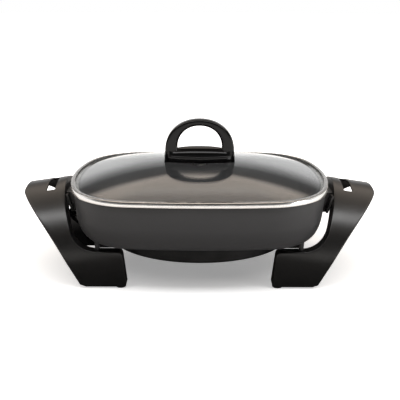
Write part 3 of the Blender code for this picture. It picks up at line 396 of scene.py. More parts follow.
def rounded(bm, axis, offset, segments=EDGE_STEPS * 2):
    """Rounds the edges of a block that run along one axis."""
    edges = []
    for edge in bm.edges:
        run = edge.verts[1].co - edge.verts[0].co
        if abs(run[axis]) > ALIGNED_SHARE * run.length:
            edges.append(edge)
    bmesh.ops.bevel(bm, geom=edges, offset=offset, segments=segments, profile=0.5,
                    affect="EDGES", material=-1)
    return bm


def outward(bm):
    bmesh.ops.recalc_face_normals(bm, faces=bm.faces)
    if bm.calc_volume(signed=True) < 0:
        bmesh.ops.reverse_faces(bm, faces=bm.faces)


def to_object(name, bm, smooth_angle=SMOOTH_ANGLE):
    outward(bm)
    mesh = bpy.data.meshes.new(name)
    bm.to_mesh(mesh)
    bm.free()
    mesh.shade_smooth()
    mesh.set_sharp_from_angle(angle=smooth_angle)
    piece = bpy.data.objects.new(name, mesh)
    bpy.context.scene.collection.objects.link(piece)
    return piece


def combine(piece, operation, bm):
    """Applies an exact Boolean with a second shape, which is then removed."""
    tool = to_object(piece.name + "_tool", bm)
    modifier = piece.modifiers.new("combine", "BOOLEAN")
    modifier.operation = operation
    modifier.object = tool
    apply_modifiers(piece)
    bpy.data.objects.remove(tool, do_unlink=True)


def apply_modifiers(piece, smooth_angle=SMOOTH_ANGLE):
    evaluated = piece.evaluated_get(bpy.context.evaluated_depsgraph_get())
    mesh = bpy.data.meshes.new_from_object(evaluated)
    piece.modifiers.clear()
    piece.data = mesh
    mesh.set_sharp_from_angle(angle=smooth_angle)


def ease_edges(piece, width, segments=2, angle=EASE_ANGLE):
    """Small rounding of the edges that are still sharp."""
    bevel = piece.modifiers.new("eased_edges", "BEVEL")
    bevel.width = width
    bevel.segments = segments
    bevel.limit_method = "ANGLE"
    bevel.angle_limit = angle
    bevel.harden_normals = False
    bevel.miter_outer = "MITER_ARC"
    apply_modifiers(piece)


def turned_piece(name, profile, matrix):
    bm = bmesh.new()
    turned(bm, profile, matrix)
    return to_object(name, bm)


def rim_piece(name, section):
    """A closed (offset, height) section carried round the rim."""
    rings = [rim_outline(offset, RIM + z) for offset, z in section]
    return to_object(name, loft(bmesh.new(), rings, wrap=True))


def dress(piece, body, slot, *materials):
    """Rides the piece on its body with its finishes."""
    piece.data.materials.clear()
    for material in materials:
        piece.data.materials.append(material)
    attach(piece, body)


def place(piece, body, slot, nodes, *materials):
    """Dresses the piece and puts it in place of its CAD nodes."""
    dress(piece, body, slot, *materials)
    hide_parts(*nodes)


# Effects shared by the finishes

def new_group(name, inputs, outputs):
    group = bpy.data.node_groups.new(name, "ShaderNodeTree")
    for label, default in inputs:
        socket = group.interface.new_socket(label, in_out="INPUT", socket_type="NodeSocketFloat")
        socket.default_value = default
    for label, kind in outputs:
        group.interface.new_socket(label, in_out="OUTPUT", socket_type=kind)
    return group, group.nodes.new("NodeGroupInput"), group.nodes.new("NodeGroupOutput")


def node(tree, kind, **settings):
    made = tree.nodes.new(kind)
    for key, value in settings.items():
        setattr(made, key, value)
    return made


def grain_group():
    """Fine raised grain, as a normal, and the same grain as a value."""
    group, inside, outside = new_group("fine_grain", [("Scale", 900.0), ("Height", 0.00002), ("Detail", 3.0)],
                                       [("Normal", "NodeSocketVector"), ("Value", "NodeSocketFloat")])
    where = node(group, "ShaderNodeTexCoord")
    noise = node(group, "ShaderNodeTexNoise")
    bump = node(group, "ShaderNodeBump")
    link = group.links.new
    link(where.outputs["Object"], noise.inputs["Vector"])
    link(inside.outputs["Scale"], noise.inputs["Scale"])
    link(inside.outputs["Detail"], noise.inputs["Detail"])
    link(noise.outputs["Fac"], bump.inputs["Height"])
    link(inside.outputs["Height"], bump.inputs["Distance"])
    link(bump.outputs["Normal"], outside.inputs["Normal"])
    link(noise.outputs["Fac"], outside.inputs["Value"])
    return group


def mottle_group():
    """Slow cloudy change between two values."""
    group, inside, outside = new_group("mottle", [("Scale", 25.0), ("Low", 0.3), ("High", 0.4)],
                                       [("Value", "NodeSocketFloat"), ("Mask", "NodeSocketFloat")])
    where = node(group, "ShaderNodeTexCoord")
    noise = node(group, "ShaderNodeTexNoise")
    noise.inputs["Detail"].default_value = 4.0
    spread = node(group, "ShaderNodeMapRange")
    spread.inputs["From Min"].default_value = 0.3
    spread.inputs["From Max"].default_value = 0.7
    mix = node(group, "ShaderNodeMapRange")
    link = group.links.new
    link(where.outputs["Object"], noise.inputs["Vector"])
    link(inside.outputs["Scale"], noise.inputs["Scale"])
    link(noise.outputs["Fac"], spread.inputs["Value"])
    link(spread.outputs["Result"], mix.inputs["Value"])
    link(inside.outputs["Low"], mix.inputs["To Min"])
    link(inside.outputs["High"], mix.inputs["To Max"])
    link(mix.outputs["Result"], outside.inputs["Value"])
    link(spread.outputs["Result"], outside.inputs["Mask"])
    return group


def fleck_group():
    """Sparse fine flecks, as a mask."""
    group, inside, outside = new_group("flecks", [("Scale", 700.0), ("Amount", 0.12)],
                                       [("Mask", "NodeSocketFloat")])
    where = node(group, "ShaderNodeTexCoord")
    cells = node(group, "ShaderNodeTexVoronoi")
    close = node(group, "ShaderNodeMath", operation="LESS_THAN")
    link = group.links.new
    link(where.outputs["Object"], cells.inputs["Vector"])
    link(inside.outputs["Scale"], cells.inputs["Scale"])
    link(cells.outputs["Distance"], close.inputs[0])
    link(inside.outputs["Amount"], close.inputs[1])
    link(close.outputs["Value"], outside.inputs["Mask"])
    return group


def scratch_group():
    """Hairline scratches in two directions, as a mask."""
    group, inside, outside = new_group("hairlines", [("Scale", 40.0), ("Stretch", 30.0)],
                                       [("Mask", "NodeSocketFloat")])
    where = node(group, "ShaderNodeTexCoord")
    link = group.links.new
    masks = []
    for turn in (radians(20), radians(-35)):
        mapping = node(group, "ShaderNodeMapping")
        mapping.inputs["Rotation"].default_value = (0.0, turn, turn)
        stretch = node(group, "ShaderNodeCombineXYZ")
        stretch.inputs["X"].default_value = 1.0
        noise = node(group, "ShaderNodeTexNoise")
        link(where.outputs["Object"], mapping.inputs["Vector"])
        link(inside.outputs["Stretch"], stretch.inputs["Y"])
        link(inside.outputs["Stretch"], stretch.inputs["Z"])
        link(stretch.outputs["Vector"], mapping.inputs["Scale"])
        link(mapping.outputs["Vector"], noise.inputs["Vector"])
        link(inside.outputs["Scale"], noise.inputs["Scale"])
        masks.append(noise.outputs["Fac"])
    both = node(group, "ShaderNodeMath", operation="MULTIPLY")
    link(masks[0], both.inputs[0])
    link(masks[1], both.inputs[1])
    link(both.outputs["Value"], outside.inputs["Mask"])
    return group


GRAIN = grain_group()
MOTTLE = mottle_group()
FLECKS = fleck_group()
HAIRLINES = scratch_group()


# Finishes

def use(tree, group, **values):
    made = tree.nodes.new("ShaderNodeGroup")
    made.node_tree = group
    for label, value in values.items():
        made.inputs[label].default_value = value
    return made


def finish(name, metallic=0.0, **sockets):
    """New material with a Principled shader, and constants set on its own sockets."""
    material = bpy.data.materials.new(name)
    material.use_nodes = True
    shader = material.node_tree.nodes["Principled BSDF"]
    shader.inputs["Metallic"].default_value = metallic
    for label, value in sockets.items():
        shader.inputs[label.replace("_", " ")].default_value = value
    return material, material.node_tree, shader


def tinted(tree, mask, first, second):
    """Colour between two colours by a mask."""
    blend = tree.nodes.new("ShaderNodeMix")
    blend.data_type = "RGBA"
    blend.inputs["A"].default_value = (*first, 1.0)
    blend.inputs["B"].default_value = (*second, 1.0)
    tree.links.new(mask, blend.inputs["Factor"])
    return blend.outputs["Result"]


def plain_finish(name, first, second, rough, tint_scale, grain_scale, grain_height, metallic=0.0, **sockets):
    """Cloudy colour between two tones, cloudy roughness and a fine raised grain."""
    material, tree, shader = finish(name, metallic, **sockets)
    cloud = use(tree, MOTTLE, Scale=tint_scale, Low=rough[0], High=rough[1])
    grain = use(tree, GRAIN, Scale=grain_scale, Height=grain_height)
    link = tree.links.new
    link(tinted(tree, cloud.outputs["Mask"], first, second), shader.inputs["Base Color"])
    link(cloud.outputs["Value"], shader.inputs["Roughness"])
    link(grain.outputs["Normal"], shader.inputs["Normal"])
    return material


def flecked_finish(name, first, fleck, rough, fleck_scale, amount, grain_height, **sockets):
    """Even tone with fine flecks of a second colour."""
    material, tree, shader = finish(name, **sockets)
    cloud = use(tree, MOTTLE, Scale=18.0, Low=rough[0], High=rough[1])
    flecks = use(tree, FLECKS, Scale=fleck_scale, Amount=amount)
    grain = use(tree, GRAIN, Scale=1100.0, Height=grain_height)
    link = tree.links.new
    link(tinted(tree, flecks.outputs["Mask"], first, fleck), shader.inputs["Base Color"])
    link(cloud.outputs["Value"], shader.inputs["Roughness"])
    link(grain.outputs["Normal"], shader.inputs["Normal"])
    return material


def polished_steel():
    """Bright steel with faint hairlines."""
    material, tree, shader = finish("polished_steel", 1.0)
    lines = use(tree, HAIRLINES, Scale=60.0, Stretch=18.0)
    spread = tree.nodes.new("ShaderNodeMapRange")
    spread.inputs["From Min"].default_value = 0.15
    spread.inputs["From Max"].default_value = 0.4
    spread.inputs["To Min"].default_value = 0.18
    spread.inputs["To Max"].default_value = 0.28
    grain = use(tree, GRAIN, Scale=260.0, Height=0.000004)
    link = tree.links.new
    link(lines.outputs["Mask"], spread.inputs["Value"])
    link(spread.outputs["Result"], shader.inputs["Roughness"])
    colour = tinted(tree, lines.outputs["Mask"], (0.95, 0.94, 0.92), (0.88, 0.87, 0.85))
    link(colour, shader.inputs["Base Color"])
    link(grain.outputs["Normal"], shader.inputs["Normal"])
    return material


def clear_glass():
    """Tempered glass with the faintest film, which only changes how sharp it is."""
    material, tree, shader = finish("lid_clear_glass", 0.0, Transmission_Weight=1.0, IOR=1.46)
    film = use(tree, MOTTLE, Scale=14.0, Low=0.0, High=0.03)
    link = tree.links.new
    colour = tinted(tree, film.outputs["Mask"], (0.965, 0.975, 0.970), (0.975, 0.985, 0.980))
    link(colour, shader.inputs["Base Color"])
    link(film.outputs["Value"], shader.inputs["Roughness"])
    return material


CHARCOAL = flecked_finish("charcoal_enamel", (0.054, 0.054, 0.056), (0.074, 0.074, 0.077),
                          (0.38, 0.46), 1500.0, 0.22, 0.000012, Specular_IOR_Level=0.30)
NON_STICK = flecked_finish("grey_non_stick", (0.095, 0.094, 0.092), (0.135, 0.132, 0.128),
                           (0.34, 0.42), 900.0, 0.16, 0.000008)
SATIN_BLACK = plain_finish("satin_black_moulding", (0.0052, 0.0048, 0.0046), (0.0064, 0.0060, 0.0057),
                           (0.30, 0.36), 30.0, 1500.0, 0.000012, Specular_IOR_Level=0.75)
GLOSS_BLACK = plain_finish("gloss_black_moulding", (0.0030, 0.0030, 0.0032), (0.0046, 0.0045, 0.0045),
                           (0.06, 0.12), 45.0, 300.0, 0.0000015, Specular_IOR_Level=0.28)
BELLY = plain_finish("dark_cast_aluminium", (0.010, 0.010, 0.0105), (0.016, 0.0155, 0.0155),
                     (0.42, 0.55), 60.0, 700.0, 0.00006)
SHEATH = plain_finish("element_sheath", (0.15, 0.14, 0.13), (0.27, 0.22, 0.18),
                      (0.38, 0.55), 90.0, 1200.0, 0.00001, metallic=0.9)
RUBBER = plain_finish("foot_rubber", (0.010, 0.010, 0.010), (0.018, 0.018, 0.017),
                      (0.70, 0.85), 120.0, 1600.0, 0.00003)
ZINC = plain_finish("zinc_plating", (0.55, 0.56, 0.58), (0.66, 0.65, 0.60),
                    (0.24, 0.36), 400.0, 1800.0, 0.000006, metallic=1.0)
NICKEL = plain_finish("nickel_plating", (0.68, 0.66, 0.62), (0.76, 0.74, 0.70),
                      (0.16, 0.26), 200.0, 1500.0, 0.000004, metallic=1.0)
CERAMIC = plain_finish("bead_ceramic", (0.70, 0.67, 0.60), (0.78, 0.76, 0.71),
                       (0.50, 0.62), 300.0, 1400.0, 0.00002)
SILICONE = plain_finish("grey_silicone", (0.10, 0.10, 0.10), (0.14, 0.14, 0.138),
                        (0.40, 0.50), 60.0, 900.0, 0.000008)
BRASS = plain_finish("insert_brass", (0.62, 0.44, 0.17), (0.70, 0.52, 0.24),
                     (0.28, 0.40), 300.0, 900.0, 0.00001, metallic=1.0)
STEEL = polished_steel()
GLASS = clear_glass()


# Pan

def pan_end_x(y):
    """The pan's outer face at an end, for a place y across it."""
    radius = END_BOW_RADIUS - PAN_SETBACK - PAN_DRAFT
    return RIM_END - END_BOW_RADIUS + sqrt(radius ** 2 - y ** 2)


def pan_wall(grow=0.0):
    """(offset, height) of the outer wall from the middle of its underside up to the rim."""
    flank = -PAN_SETBACK - PAN_DRAFT + grow
    turn_height = PAN_BOTTOM + PAN_TURN_UP
    turn = [pi / 2 * (1 - step / TURN_STEPS) for step in range(TURN_STEPS + 1)]
    points = [(flank - PAN_TURN_IN * (1 - cos(a)), turn_height - (PAN_TURN_UP + grow) * sin(a)) for a in turn]
    return points + [(-PAN_SETBACK + grow, RIM - GAP - RIM_ROUND)]


def pan_land():
    """Rounded flat rim."""
    top = RIM - GAP
    outer = arc(-PAN_SETBACK - RIM_ROUND, top - RIM_ROUND, RIM_ROUND, 0.0, pi / 2, EDGE_STEPS)[1:]
    inner = arc(-PAN_SETBACK - RIM_LAND + RIM_ROUND, top - RIM_ROUND, RIM_ROUND, pi / 2, pi, EDGE_STEPS)
    return outer + inner


def pan_cavity():
    flank = -PAN_SETBACK - RIM_LAND - CAVITY_DRAFT
    turn_height = PAN_BOTTOM + PAN_TURN_UP
    drop = PAN_TURN_UP - PAN_FLOOR
    turn = [pi / 2 * step / TURN_STEPS for step in range(TURN_STEPS + 1)]
    return [(flank - PAN_TURN_IN * (1 - cos(a)), turn_height - drop * sin(a)) for a in turn]


def lug_places():
    """X, Y, foot and bore end of each lug: four stand on the shelves, two end above the guard's screws."""
    places = []
    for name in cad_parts:
        if name.startswith(("shelf_screw", "guard_screw")):
            low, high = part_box(name)
            end = high.z + GAP
            foot = SHELF_HEIGHT + GAP if name.startswith("shelf_screw") else end
            places.append(((low.x + high.x) / 2, (low.y + high.y) / 2, foot, end))
    return sorted(places)


def neck_screw_places():
    places = []
    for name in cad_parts:
        if name.startswith("neck_screw"):
            low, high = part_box(name)
            places.append(((low.x + high.x) / 2, (low.y + high.y) / 2, (low.z + high.z) / 2))
    return sorted(places)


def pan_piece():
    wall = pan_wall()
    land = pan_land()
    cavity = pan_cavity()
    rings = [rim_outline(offset, z) for offset, z in wall + land + cavity]
    slots = [0] * (len(wall) + len(land) - 2) + [1] * (len(cavity) + 1)
    piece = to_object("pan_casting", loft(bmesh.new(), rings, slots=slots))
    lugs = bmesh.new()
    bores = bmesh.new()
    root = PAN_BOTTOM + LUG_ROOT
    bore = SCREW_RADIUS + GAP
    for x, y, foot, end in lug_places():
        axis = Matrix.Translation((x, y, 0.0))
        tip = LUG_TIP_RADIUS if foot < end else LUG_RADIUS
        turned(lugs, [(0.0, foot), (tip, foot), (LUG_RADIUS, root), (0.0, root)], axis)
        if foot < end:
            mouth = foot - OVERRUN
            turned(bores, [(0.0, mouth), (bore, mouth), (bore, end), (0.0, end)], axis)
    for x, y, z in neck_screw_places():
        end = 1 if x > 0 else -1
        face = pan_end_x(y) + BOSS_PROUD
        turned(lugs, [(0.0, -BOSS_PROUD * 2), (BOSS_RADIUS, -BOSS_PROUD * 2), (BOSS_RADIUS, 0.0), (0.0, 0.0)],
               facing(end * face, y, z, (end, 0, 0)))
    combine(piece, "UNION", lugs)
    combine(piece, "DIFFERENCE", bores)
    place(piece, "base", "pan_enamel", ["pan"], CHARCOAL, NON_STICK)


# Heater ring

def ring_oval(offset, z):
    return oval(RING_HALF_LENGTH + offset, RING_HALF_WIDTH + offset, z, RING_STEPS)


def ring_piece():
    middle = -RING_BAND / 2
    edge = RING_EDGE_RADIUS
    groove_top = RING_BOTTOM + GROOVE_DEPTH
    section = [(RING_DRAFT, RING_TOP)]
    section += arc(-edge, RING_BOTTOM + edge, edge, 0, -pi / 2, EDGE_STEPS * 2)
    section += [(middle + GROOVE_HALF_WIDTH, RING_BOTTOM)]
    section += arc(middle, groove_top - GROOVE_HALF_WIDTH, GROOVE_HALF_WIDTH, 0, pi, EDGE_STEPS * 2)
    section += [(middle - GROOVE_HALF_WIDTH, RING_BOTTOM)]
    section += arc(edge - RING_BAND, RING_BOTTOM + edge, edge, -pi / 2, -pi, EDGE_STEPS * 2)
    section += [(-RING_BAND - RING_DRAFT, RING_TOP)]
    rings = [ring_oval(offset, z) for offset, z in section]
    piece = to_object("heater_ring_casting", loft(bmesh.new(), rings, wrap=True))
    notch_x = RING_HALF_LENGTH - RING_BAND + NOTCH_WALL
    notch_half = pin_y() + 2 * ELEMENT_BEND_RADIUS - ELEMENT_RADIUS / 2
    low = (-RING_HALF_LENGTH - RING_DRAFT - OVERRUN, -notch_half, RING_BOTTOM - OVERRUN)
    notch_top = PIN_HEIGHT + well_radius() + GAP
    combine(piece, "DIFFERENCE", block(low, (-notch_x, notch_half, notch_top)))
    place(piece, "base", "ring_aluminium", ["heater_ring"], BELLY)


def pin_y():
    low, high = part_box("terminal_pin_2")
    return abs(low.y + high.y) / 2


def well_radius():
    low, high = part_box("probe_well")
    return (high.z - low.z) / 2


def element_line():
    """One side's half of the element, from the middle of the +X end to the sheath's end."""
    half_length = RING_HALF_LENGTH - RING_BAND / 2
    half_width = RING_HALF_WIDTH - RING_BAND / 2
    bend = ELEMENT_BEND_RADIUS
    heading = -pi / 2
    for _ in range(SOLVE_STEPS):
        leave_y = pin_y() + bend * (1 + cos(heading))
        leave = pi - asin(leave_y / half_width)
        heading = atan2(half_width * cos(leave), -half_length * sin(leave))
    facet = 2 * pi / RING_STEPS
    angles = [facet * step for step in range(RING_STEPS) if facet * (step + 0.5) < leave] + [leave]
    points = [(half_length * cos(a), half_width * sin(a)) for a in angles]
    centre_x = points[-1][0] + bend * sin(heading)
    centre_y = points[-1][1] - bend * cos(heading)
    points += arc(centre_x, centre_y, bend, heading + pi / 2, -pi / 2, TURN_STEPS)[1:]
    points.append((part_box("heating_element")[0].x, points[-1][1]))
    return points


def element_piece():
    half = element_line()
    whole = [(x, y) for x, y in reversed(half)] + [(x, -y) for x, y in half[1:]]
    curve = bpy.data.curves.new("element_tube", "CURVE")
    curve.dimensions = "3D"
    curve.bevel_depth = ELEMENT_RADIUS
    curve.bevel_resolution = 6
    curve.use_fill_caps = True
    spline = curve.splines.new("POLY")
    spline.points.add(len(whole) - 1)
    for point, (x, y) in zip(spline.points, whole):
        point.co = (x, y, PIN_HEIGHT, 1.0)
    guide = bpy.data.objects.new("element_tube_guide", curve)
    bpy.context.scene.collection.objects.link(guide)
    mesh = bpy.data.meshes.new_from_object(guide.evaluated_get(bpy.context.evaluated_depsgraph_get()))
    bpy.data.objects.remove(guide, do_unlink=True)
    bm = bmesh.new()
    bm.from_mesh(mesh)
    bmesh.ops.remove_doubles(bm, verts=bm.verts, dist=WELD_DISTANCE)
    place(to_object("element_tube", bm), "base", "element_sheath", ["heating_element"], SHEATH)


# Terminals, probe well and guard

def terminal_pieces():
    for number in ("1", "2"):
        low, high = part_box("terminal_pin_" + number)
        radius = (high.z - low.z) / 2
        y = (low.y + high.y) / 2
        length = high.x - low.x
        angles = [pi / 2 * step / EDGE_STEPS for step in range(EDGE_STEPS + 1)]
        taper = radius * PIN_NOSE_SHARE
        nose = [(radius - taper * (1 - cos(a)), length - radius * (1 - sin(a))) for a in angles]
        profile = [(0.0, 0.0), (radius, 0.0)] + nose + [(0.0, length)]
        axis = facing(high.x, y, PIN_HEIGHT, (-1, 0, 0))
        pin = turned_piece("terminal_pin_nickel_" + number, profile, axis)
        place(pin, "base", "pin_nickel", ["terminal_pin_" + number], NICKEL)
        low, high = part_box("terminal_bead_" + number)
        outer = (high.z - low.z) / 2
        bore = radius + GAP
        edge = GAP * 3
        profile = [(bore, 0.0), (outer - edge, 0.0), (outer, edge), (outer, BEAD_LENGTH - edge),
                   (outer - edge, BEAD_LENGTH), (bore, BEAD_LENGTH), (bore, 0.0)]
        axis = facing(high.x, y, PIN_HEIGHT, (-1, 0, 0))
        bead = turned_piece("terminal_bead_ceramic_" + number, profile, axis)
        place(bead, "base", "bead_ceramic", ["terminal_bead_" + number], CERAMIC)


def well_piece():
    low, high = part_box("probe_well")
    radius = (high.z - low.z) / 2
    length = high.x - low.x
    bore = WELL_BORE_RADIUS
    profile = [(0.0, 0.0), (radius, 0.0), (radius, length - GAP), (radius - GAP, length),
               (bore + GAP, length), (bore, length - GAP), (bore, radius), (0.0, radius)]
    tube = turned_piece("probe_well_tube", profile, facing(high.x, 0.0, PIN_HEIGHT, (-1, 0, 0)))
    place(tube, "base", "ring_aluminium", ["probe_well"], SHEATH)


def pan_cutter(under_gap, side_gap):
    """The pan's outside, grown by a gap."""
    rings = [rim_outline(offset + side_gap, z - under_gap) for offset, z in pan_wall()]
    rings.append(rim_outline(side_gap, RIM + OVERRUN))
    return loft(bmesh.new(), rings)


def guard_piece():
    low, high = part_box("socket_guard")
    shell = rounded(block(low, high), 0, GUARD_EDGE_RADIUS)
    piece = to_object("socket_guard_box", shell)
    inner = block((low.x - OVERRUN, low.y + GUARD_WALL, low.z + GUARD_WALL),
                  (high.x - GUARD_BACK_BLOCK, high.y - GUARD_WALL, high.z - GUARD_WALL))
    combine(piece, "DIFFERENCE", rounded(inner, 0, GUARD_EDGE_RADIUS - GUARD_WALL))
    combine(piece, "DIFFERENCE", pan_cutter(GAP, GUARD_PAN_GAP))
    holes = bmesh.new()
    depth = GUARD_BACK_BLOCK + 2 * OVERRUN
    bead_low, bead_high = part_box("terminal_bead_1")
    bead = (bead_high.z - bead_low.z) / 2 + GAP
    for y, radius in ((-pin_y(), bead), (pin_y(), bead), (0.0, well_radius() + GAP)):
        turned(holes, [(0.0, 0.0), (radius, 0.0), (radius, depth), (0.0, depth)],
               facing(high.x + OVERRUN, y, PIN_HEIGHT, (-1, 0, 0)))
    combine(piece, "DIFFERENCE", holes)
    ease_edges(piece, GAP * 2)
    place(piece, "base", "gloss_moulding", ["socket_guard"], GLOSS_BLACK)


# Handle-legs

def arch_centre(x):
    """Height of the centre of the arch, at a distance from the middle of the pan."""
    return RIM + ARCH_TOP_RISE - ARCH_RADIUS + (RIM_END - x) * FALL


def flange_x(z):
    return FLANGE_TOP_X - (FLANGE_TOP_Z - z) * LEAN


def flank_point(radius, angle, wall=0.0):
    """Place in X and Z where the leaning flank meets an arch of a radius, at an angle up the arch."""
    offset = wall / cos(FLANGE_LEAN)
    start_x = FLANGE_TOP_X - FLANGE_TOP_Z * LEAN + offset
    level = arch_centre(0.0) - FALL * start_x + radius * sin(angle)
    z = level / (1 + FALL * LEAN)
    return Vector((start_x + z * LEAN, z))


def turn_top():
    """Height at which the flank starts to turn into the shelf."""
    return SHELF_HEIGHT + SHELF_TURN_RADIUS * (1 - sin(FLANGE_LEAN))


def turn_x():
    return flange_x(turn_top()) - SHELF_TURN_RADIUS * cos(FLANGE_LEAN)


def lower_inner(wall):
    """The edge from the flank round the shelf and down the leg to the foot, set back by a wall."""
    corner = LEG_CORNER_RADIUS
    points = arc(turn_x(), SHELF_HEIGHT + SHELF_TURN_RADIUS, SHELF_TURN_RADIUS + wall,
                 -FLANGE_LEAN, -pi / 2, TURN_STEPS)
    points += arc(LEG_INNER_X + corner, SHELF_HEIGHT - corner, corner - wall, pi / 2, pi, EDGE_STEPS * 2)
    foot = (FOOT_INNER_X + corner / 2, FOOT_HEIGHT)
    heel = (FOOT_INNER_X + wall, FOOT_HEIGHT + corner / 2)
    return points + [heel, (foot[0] + wall / 2, foot[1])]


def outer_edge():
    """The outer edge from the tip of the handle down to the foot."""
    start_x = FOOT_OUTER_X + (SHELF_HEIGHT - LEG_BOW_DROP - FOOT_HEIGHT) / tan(LEG_RAKE)
    centre_x = start_x + LEG_BOW_RADIUS * sin(LEG_RAKE)
    centre_z = SHELF_HEIGHT - LEG_BOW_DROP - LEG_BOW_RADIUS * cos(LEG_RAKE)
    tip_x = RIM_END + TIP_OUTSET - TIP_RADIUS
    tip_z = centre_z + sqrt((LEG_BOW_RADIUS + TIP_RADIUS) ** 2 - (centre_x - tip_x) ** 2)
    turn = atan2(tip_z - centre_z, tip_x - centre_x)
    points = [(tip_x + TIP_RADIUS, RIM + OVERRUN)]
    points += arc(tip_x, tip_z, TIP_RADIUS, 0.0, turn - pi, TURN_STEPS)
    points += arc(centre_x, centre_z, LEG_BOW_RADIUS, turn, pi / 2 + LEG_RAKE, TURN_STEPS * 3)[1:]
    corner = LEG_CORNER_RADIUS
    points.append((FOOT_OUTER_X + corner * cos(LEG_RAKE) / 2, FOOT_HEIGHT + corner * sin(LEG_RAKE) / 2))
    return points + [(FOOT_OUTER_X - corner, FOOT_HEIGHT)]


def edge_at_angle(path, angle):
    """Place on the outer edge that lies at an angle up the arch."""
    height = [z - arch_centre(x) - ARCH_RADIUS * sin(angle) for x, z in path]
    for (p, q), (a, b) in zip(zip(path, path[1:]), zip(height, height[1:])):
        if a >= 0.0 >= b:
            t = a / (a - b)
            return Vector((p[0] + (q[0] - p[0]) * t, p[1] + (q[1] - p[1]) * t))
    return Vector(path[0])


def below_angle(path, angle):
    start = edge_at_angle(path, angle)
    return [tuple(start)] + [(x, z) for x, z in path if z < start.y]


def ease(t):
    t = min(1.0, max(0.0, t))
    return t * t * (3 - 2 * t)


class Station:
    """One cross-section of a handle-leg, from the pan side to the outer edge."""

    def __init__(self, inner, inner_wall, outer, shift):
        self.inner = inner
        self.inner_wall = inner_wall
        self.outer = outer
        self.shift = shift
        self.width = WING_SKIN + (outer - inner_wall).length

    def point(self, across, depth):
        """Across runs from the pan side outwards along the surface, depth goes into the moulding."""
        if across < WING_SKIN:
            base = self.inner.lerp(self.inner_wall, across / WING_SKIN)
        else:
            base = self.inner_wall.lerp(self.outer, (across - WING_SKIN) / (self.width - WING_SKIN))
        rise = max(0.0, base.y - arch_centre(base.x)) / ARCH_RADIUS
        radial = Vector((0.0, -FLANGE_DEPTH * min(1.0, rise)))
        share = 1 - ease((across - WING_SKIN) / SKIN_BLEND)
        spot = base + self.shift.lerp(radial, 1 - share) * (depth / FLANGE_DEPTH)
        reach = ARCH_RADIUS - depth
        above = max(0.0, spot.y - arch_centre(spot.x))
        return spot.x, -sqrt(max(0.0, reach ** 2 - above ** 2)), spot.y

    def ring(self):
        r = WING_ROUND
        far = self.width
        rim = WING_SKIN / 2
        points = arc(r, r, r, pi, 3 * pi / 2, EDGE_STEPS)
        points += [(r + (far - rim - r) * step / SKIN_STEPS, 0.0) for step in range(1, SKIN_STEPS)]
        points += arc(far - rim, rim, rim, -pi / 2, pi / 2, EDGE_STEPS * 2)
        run = far - rim - WING_SKIN - r
        points += [(far - rim - run * step / SKIN_STEPS, WING_SKIN) for step in range(1, SKIN_STEPS)]
        points += arc(WING_SKIN + r, WING_SKIN + r, r, -pi / 2, -pi, EDGE_STEPS)
        tip = WING_SKIN / 2
        fall = FLANGE_DEPTH - tip - WING_SKIN - r
        points += [(WING_SKIN, WING_SKIN + r + fall * step / EDGE_STEPS) for step in range(1, EDGE_STEPS)]
        points += arc(tip, FLANGE_DEPTH - tip, tip, 0, pi, EDGE_STEPS * 2)
        rise = FLANGE_DEPTH - tip - r
        points += [(0.0, FLANGE_DEPTH - tip - rise * step / EDGE_STEPS) for step in range(1, EDGE_STEPS)]
        return [self.point(across, depth) for across, depth in points]


def wing_stations():
    """Cross-sections from the crown of the arch down to the foot."""
    edge = outer_edge()
    top = Vector((flange_x(turn_top()), turn_top()))
    turn_angle = asin((top.y - arch_centre(top.x)) / ARCH_RADIUS)
    flange_angle = asin((top.y - arch_centre(top.x)) / (ARCH_RADIUS - FLANGE_DEPTH))
    stations = []
    for step in range(ARCH_STEPS):
        share = step / ARCH_STEPS
        angle = pi / 2 + (turn_angle - pi / 2) * share
        inner_angle = pi / 2 + (flange_angle - pi / 2) * share
        inner = flank_point(ARCH_RADIUS, angle)
        shift = flank_point(ARCH_RADIUS - FLANGE_DEPTH, inner_angle) - inner
        inner_wall = flank_point(ARCH_RADIUS, angle, WING_SKIN)
        stations.append(Station(inner, inner_wall, edge_at_angle(edge, angle), shift))
    paths = lower_inner(0.0), lower_inner(WING_SKIN), below_angle(edge, turn_angle)
    for step in range(LEG_STEPS + 1):
        places = [along_path(path, step / LEG_STEPS) for path in paths]
        stations.append(Station(*places, Vector((0.0, 0.0))))
    return stations


def slot_tool(side):
    centre = (RIM_END + SLOT_OUTSET) * side
    low = (centre - SLOT_WIDTH / 2, -SLOT_LENGTH / 2, RIM - 2 * FLANGE_DEPTH)
    high = (centre + SLOT_WIDTH / 2, SLOT_LENGTH / 2, RIM)
    return rounded(block(low, high), 2, SLOT_CORNER_RADIUS)


def wing_piece(name, side):
    half = [station.ring() for station in wing_stations()]
    rear = [[(x, -y, z) for x, y, z in ring] for ring in half]
    rings = [[(x * side, y, z) for x, y, z in ring] for ring in list(reversed(half)) + rear[1:]]
    piece = to_object(name + "_moulding", loft(bmesh.new(), rings))
    combine(piece, "DIFFERENCE", slot_tool(side))
    ease_edges(piece, GAP * 2)
    place(piece, "base", "satin_moulding", [name], SATIN_BLACK)


def foot_plate_piece(name, side, y_side):
    """Floor of a leg, which the rubber foot is pressed into."""
    inner = ARCH_RADIUS - FLANGE_DEPTH + WING_SKIN / 2
    outer = ARCH_RADIUS - WING_SKIN / 2
    xs = sorted((side * (FOOT_INNER_X + WING_SKIN / 2), side * (FOOT_OUTER_X - WING_SKIN)))
    ys = sorted((y_side * inner, y_side * outer))
    plate = block((xs[0], ys[0], FOOT_HEIGHT + GAP), (xs[1], ys[1], FOOT_HEIGHT + FOOT_PLATE))
    piece = to_object(name, rounded(plate, 2, WING_SKIN / 2))
    dress(piece, "base", "satin_moulding", SATIN_BLACK)


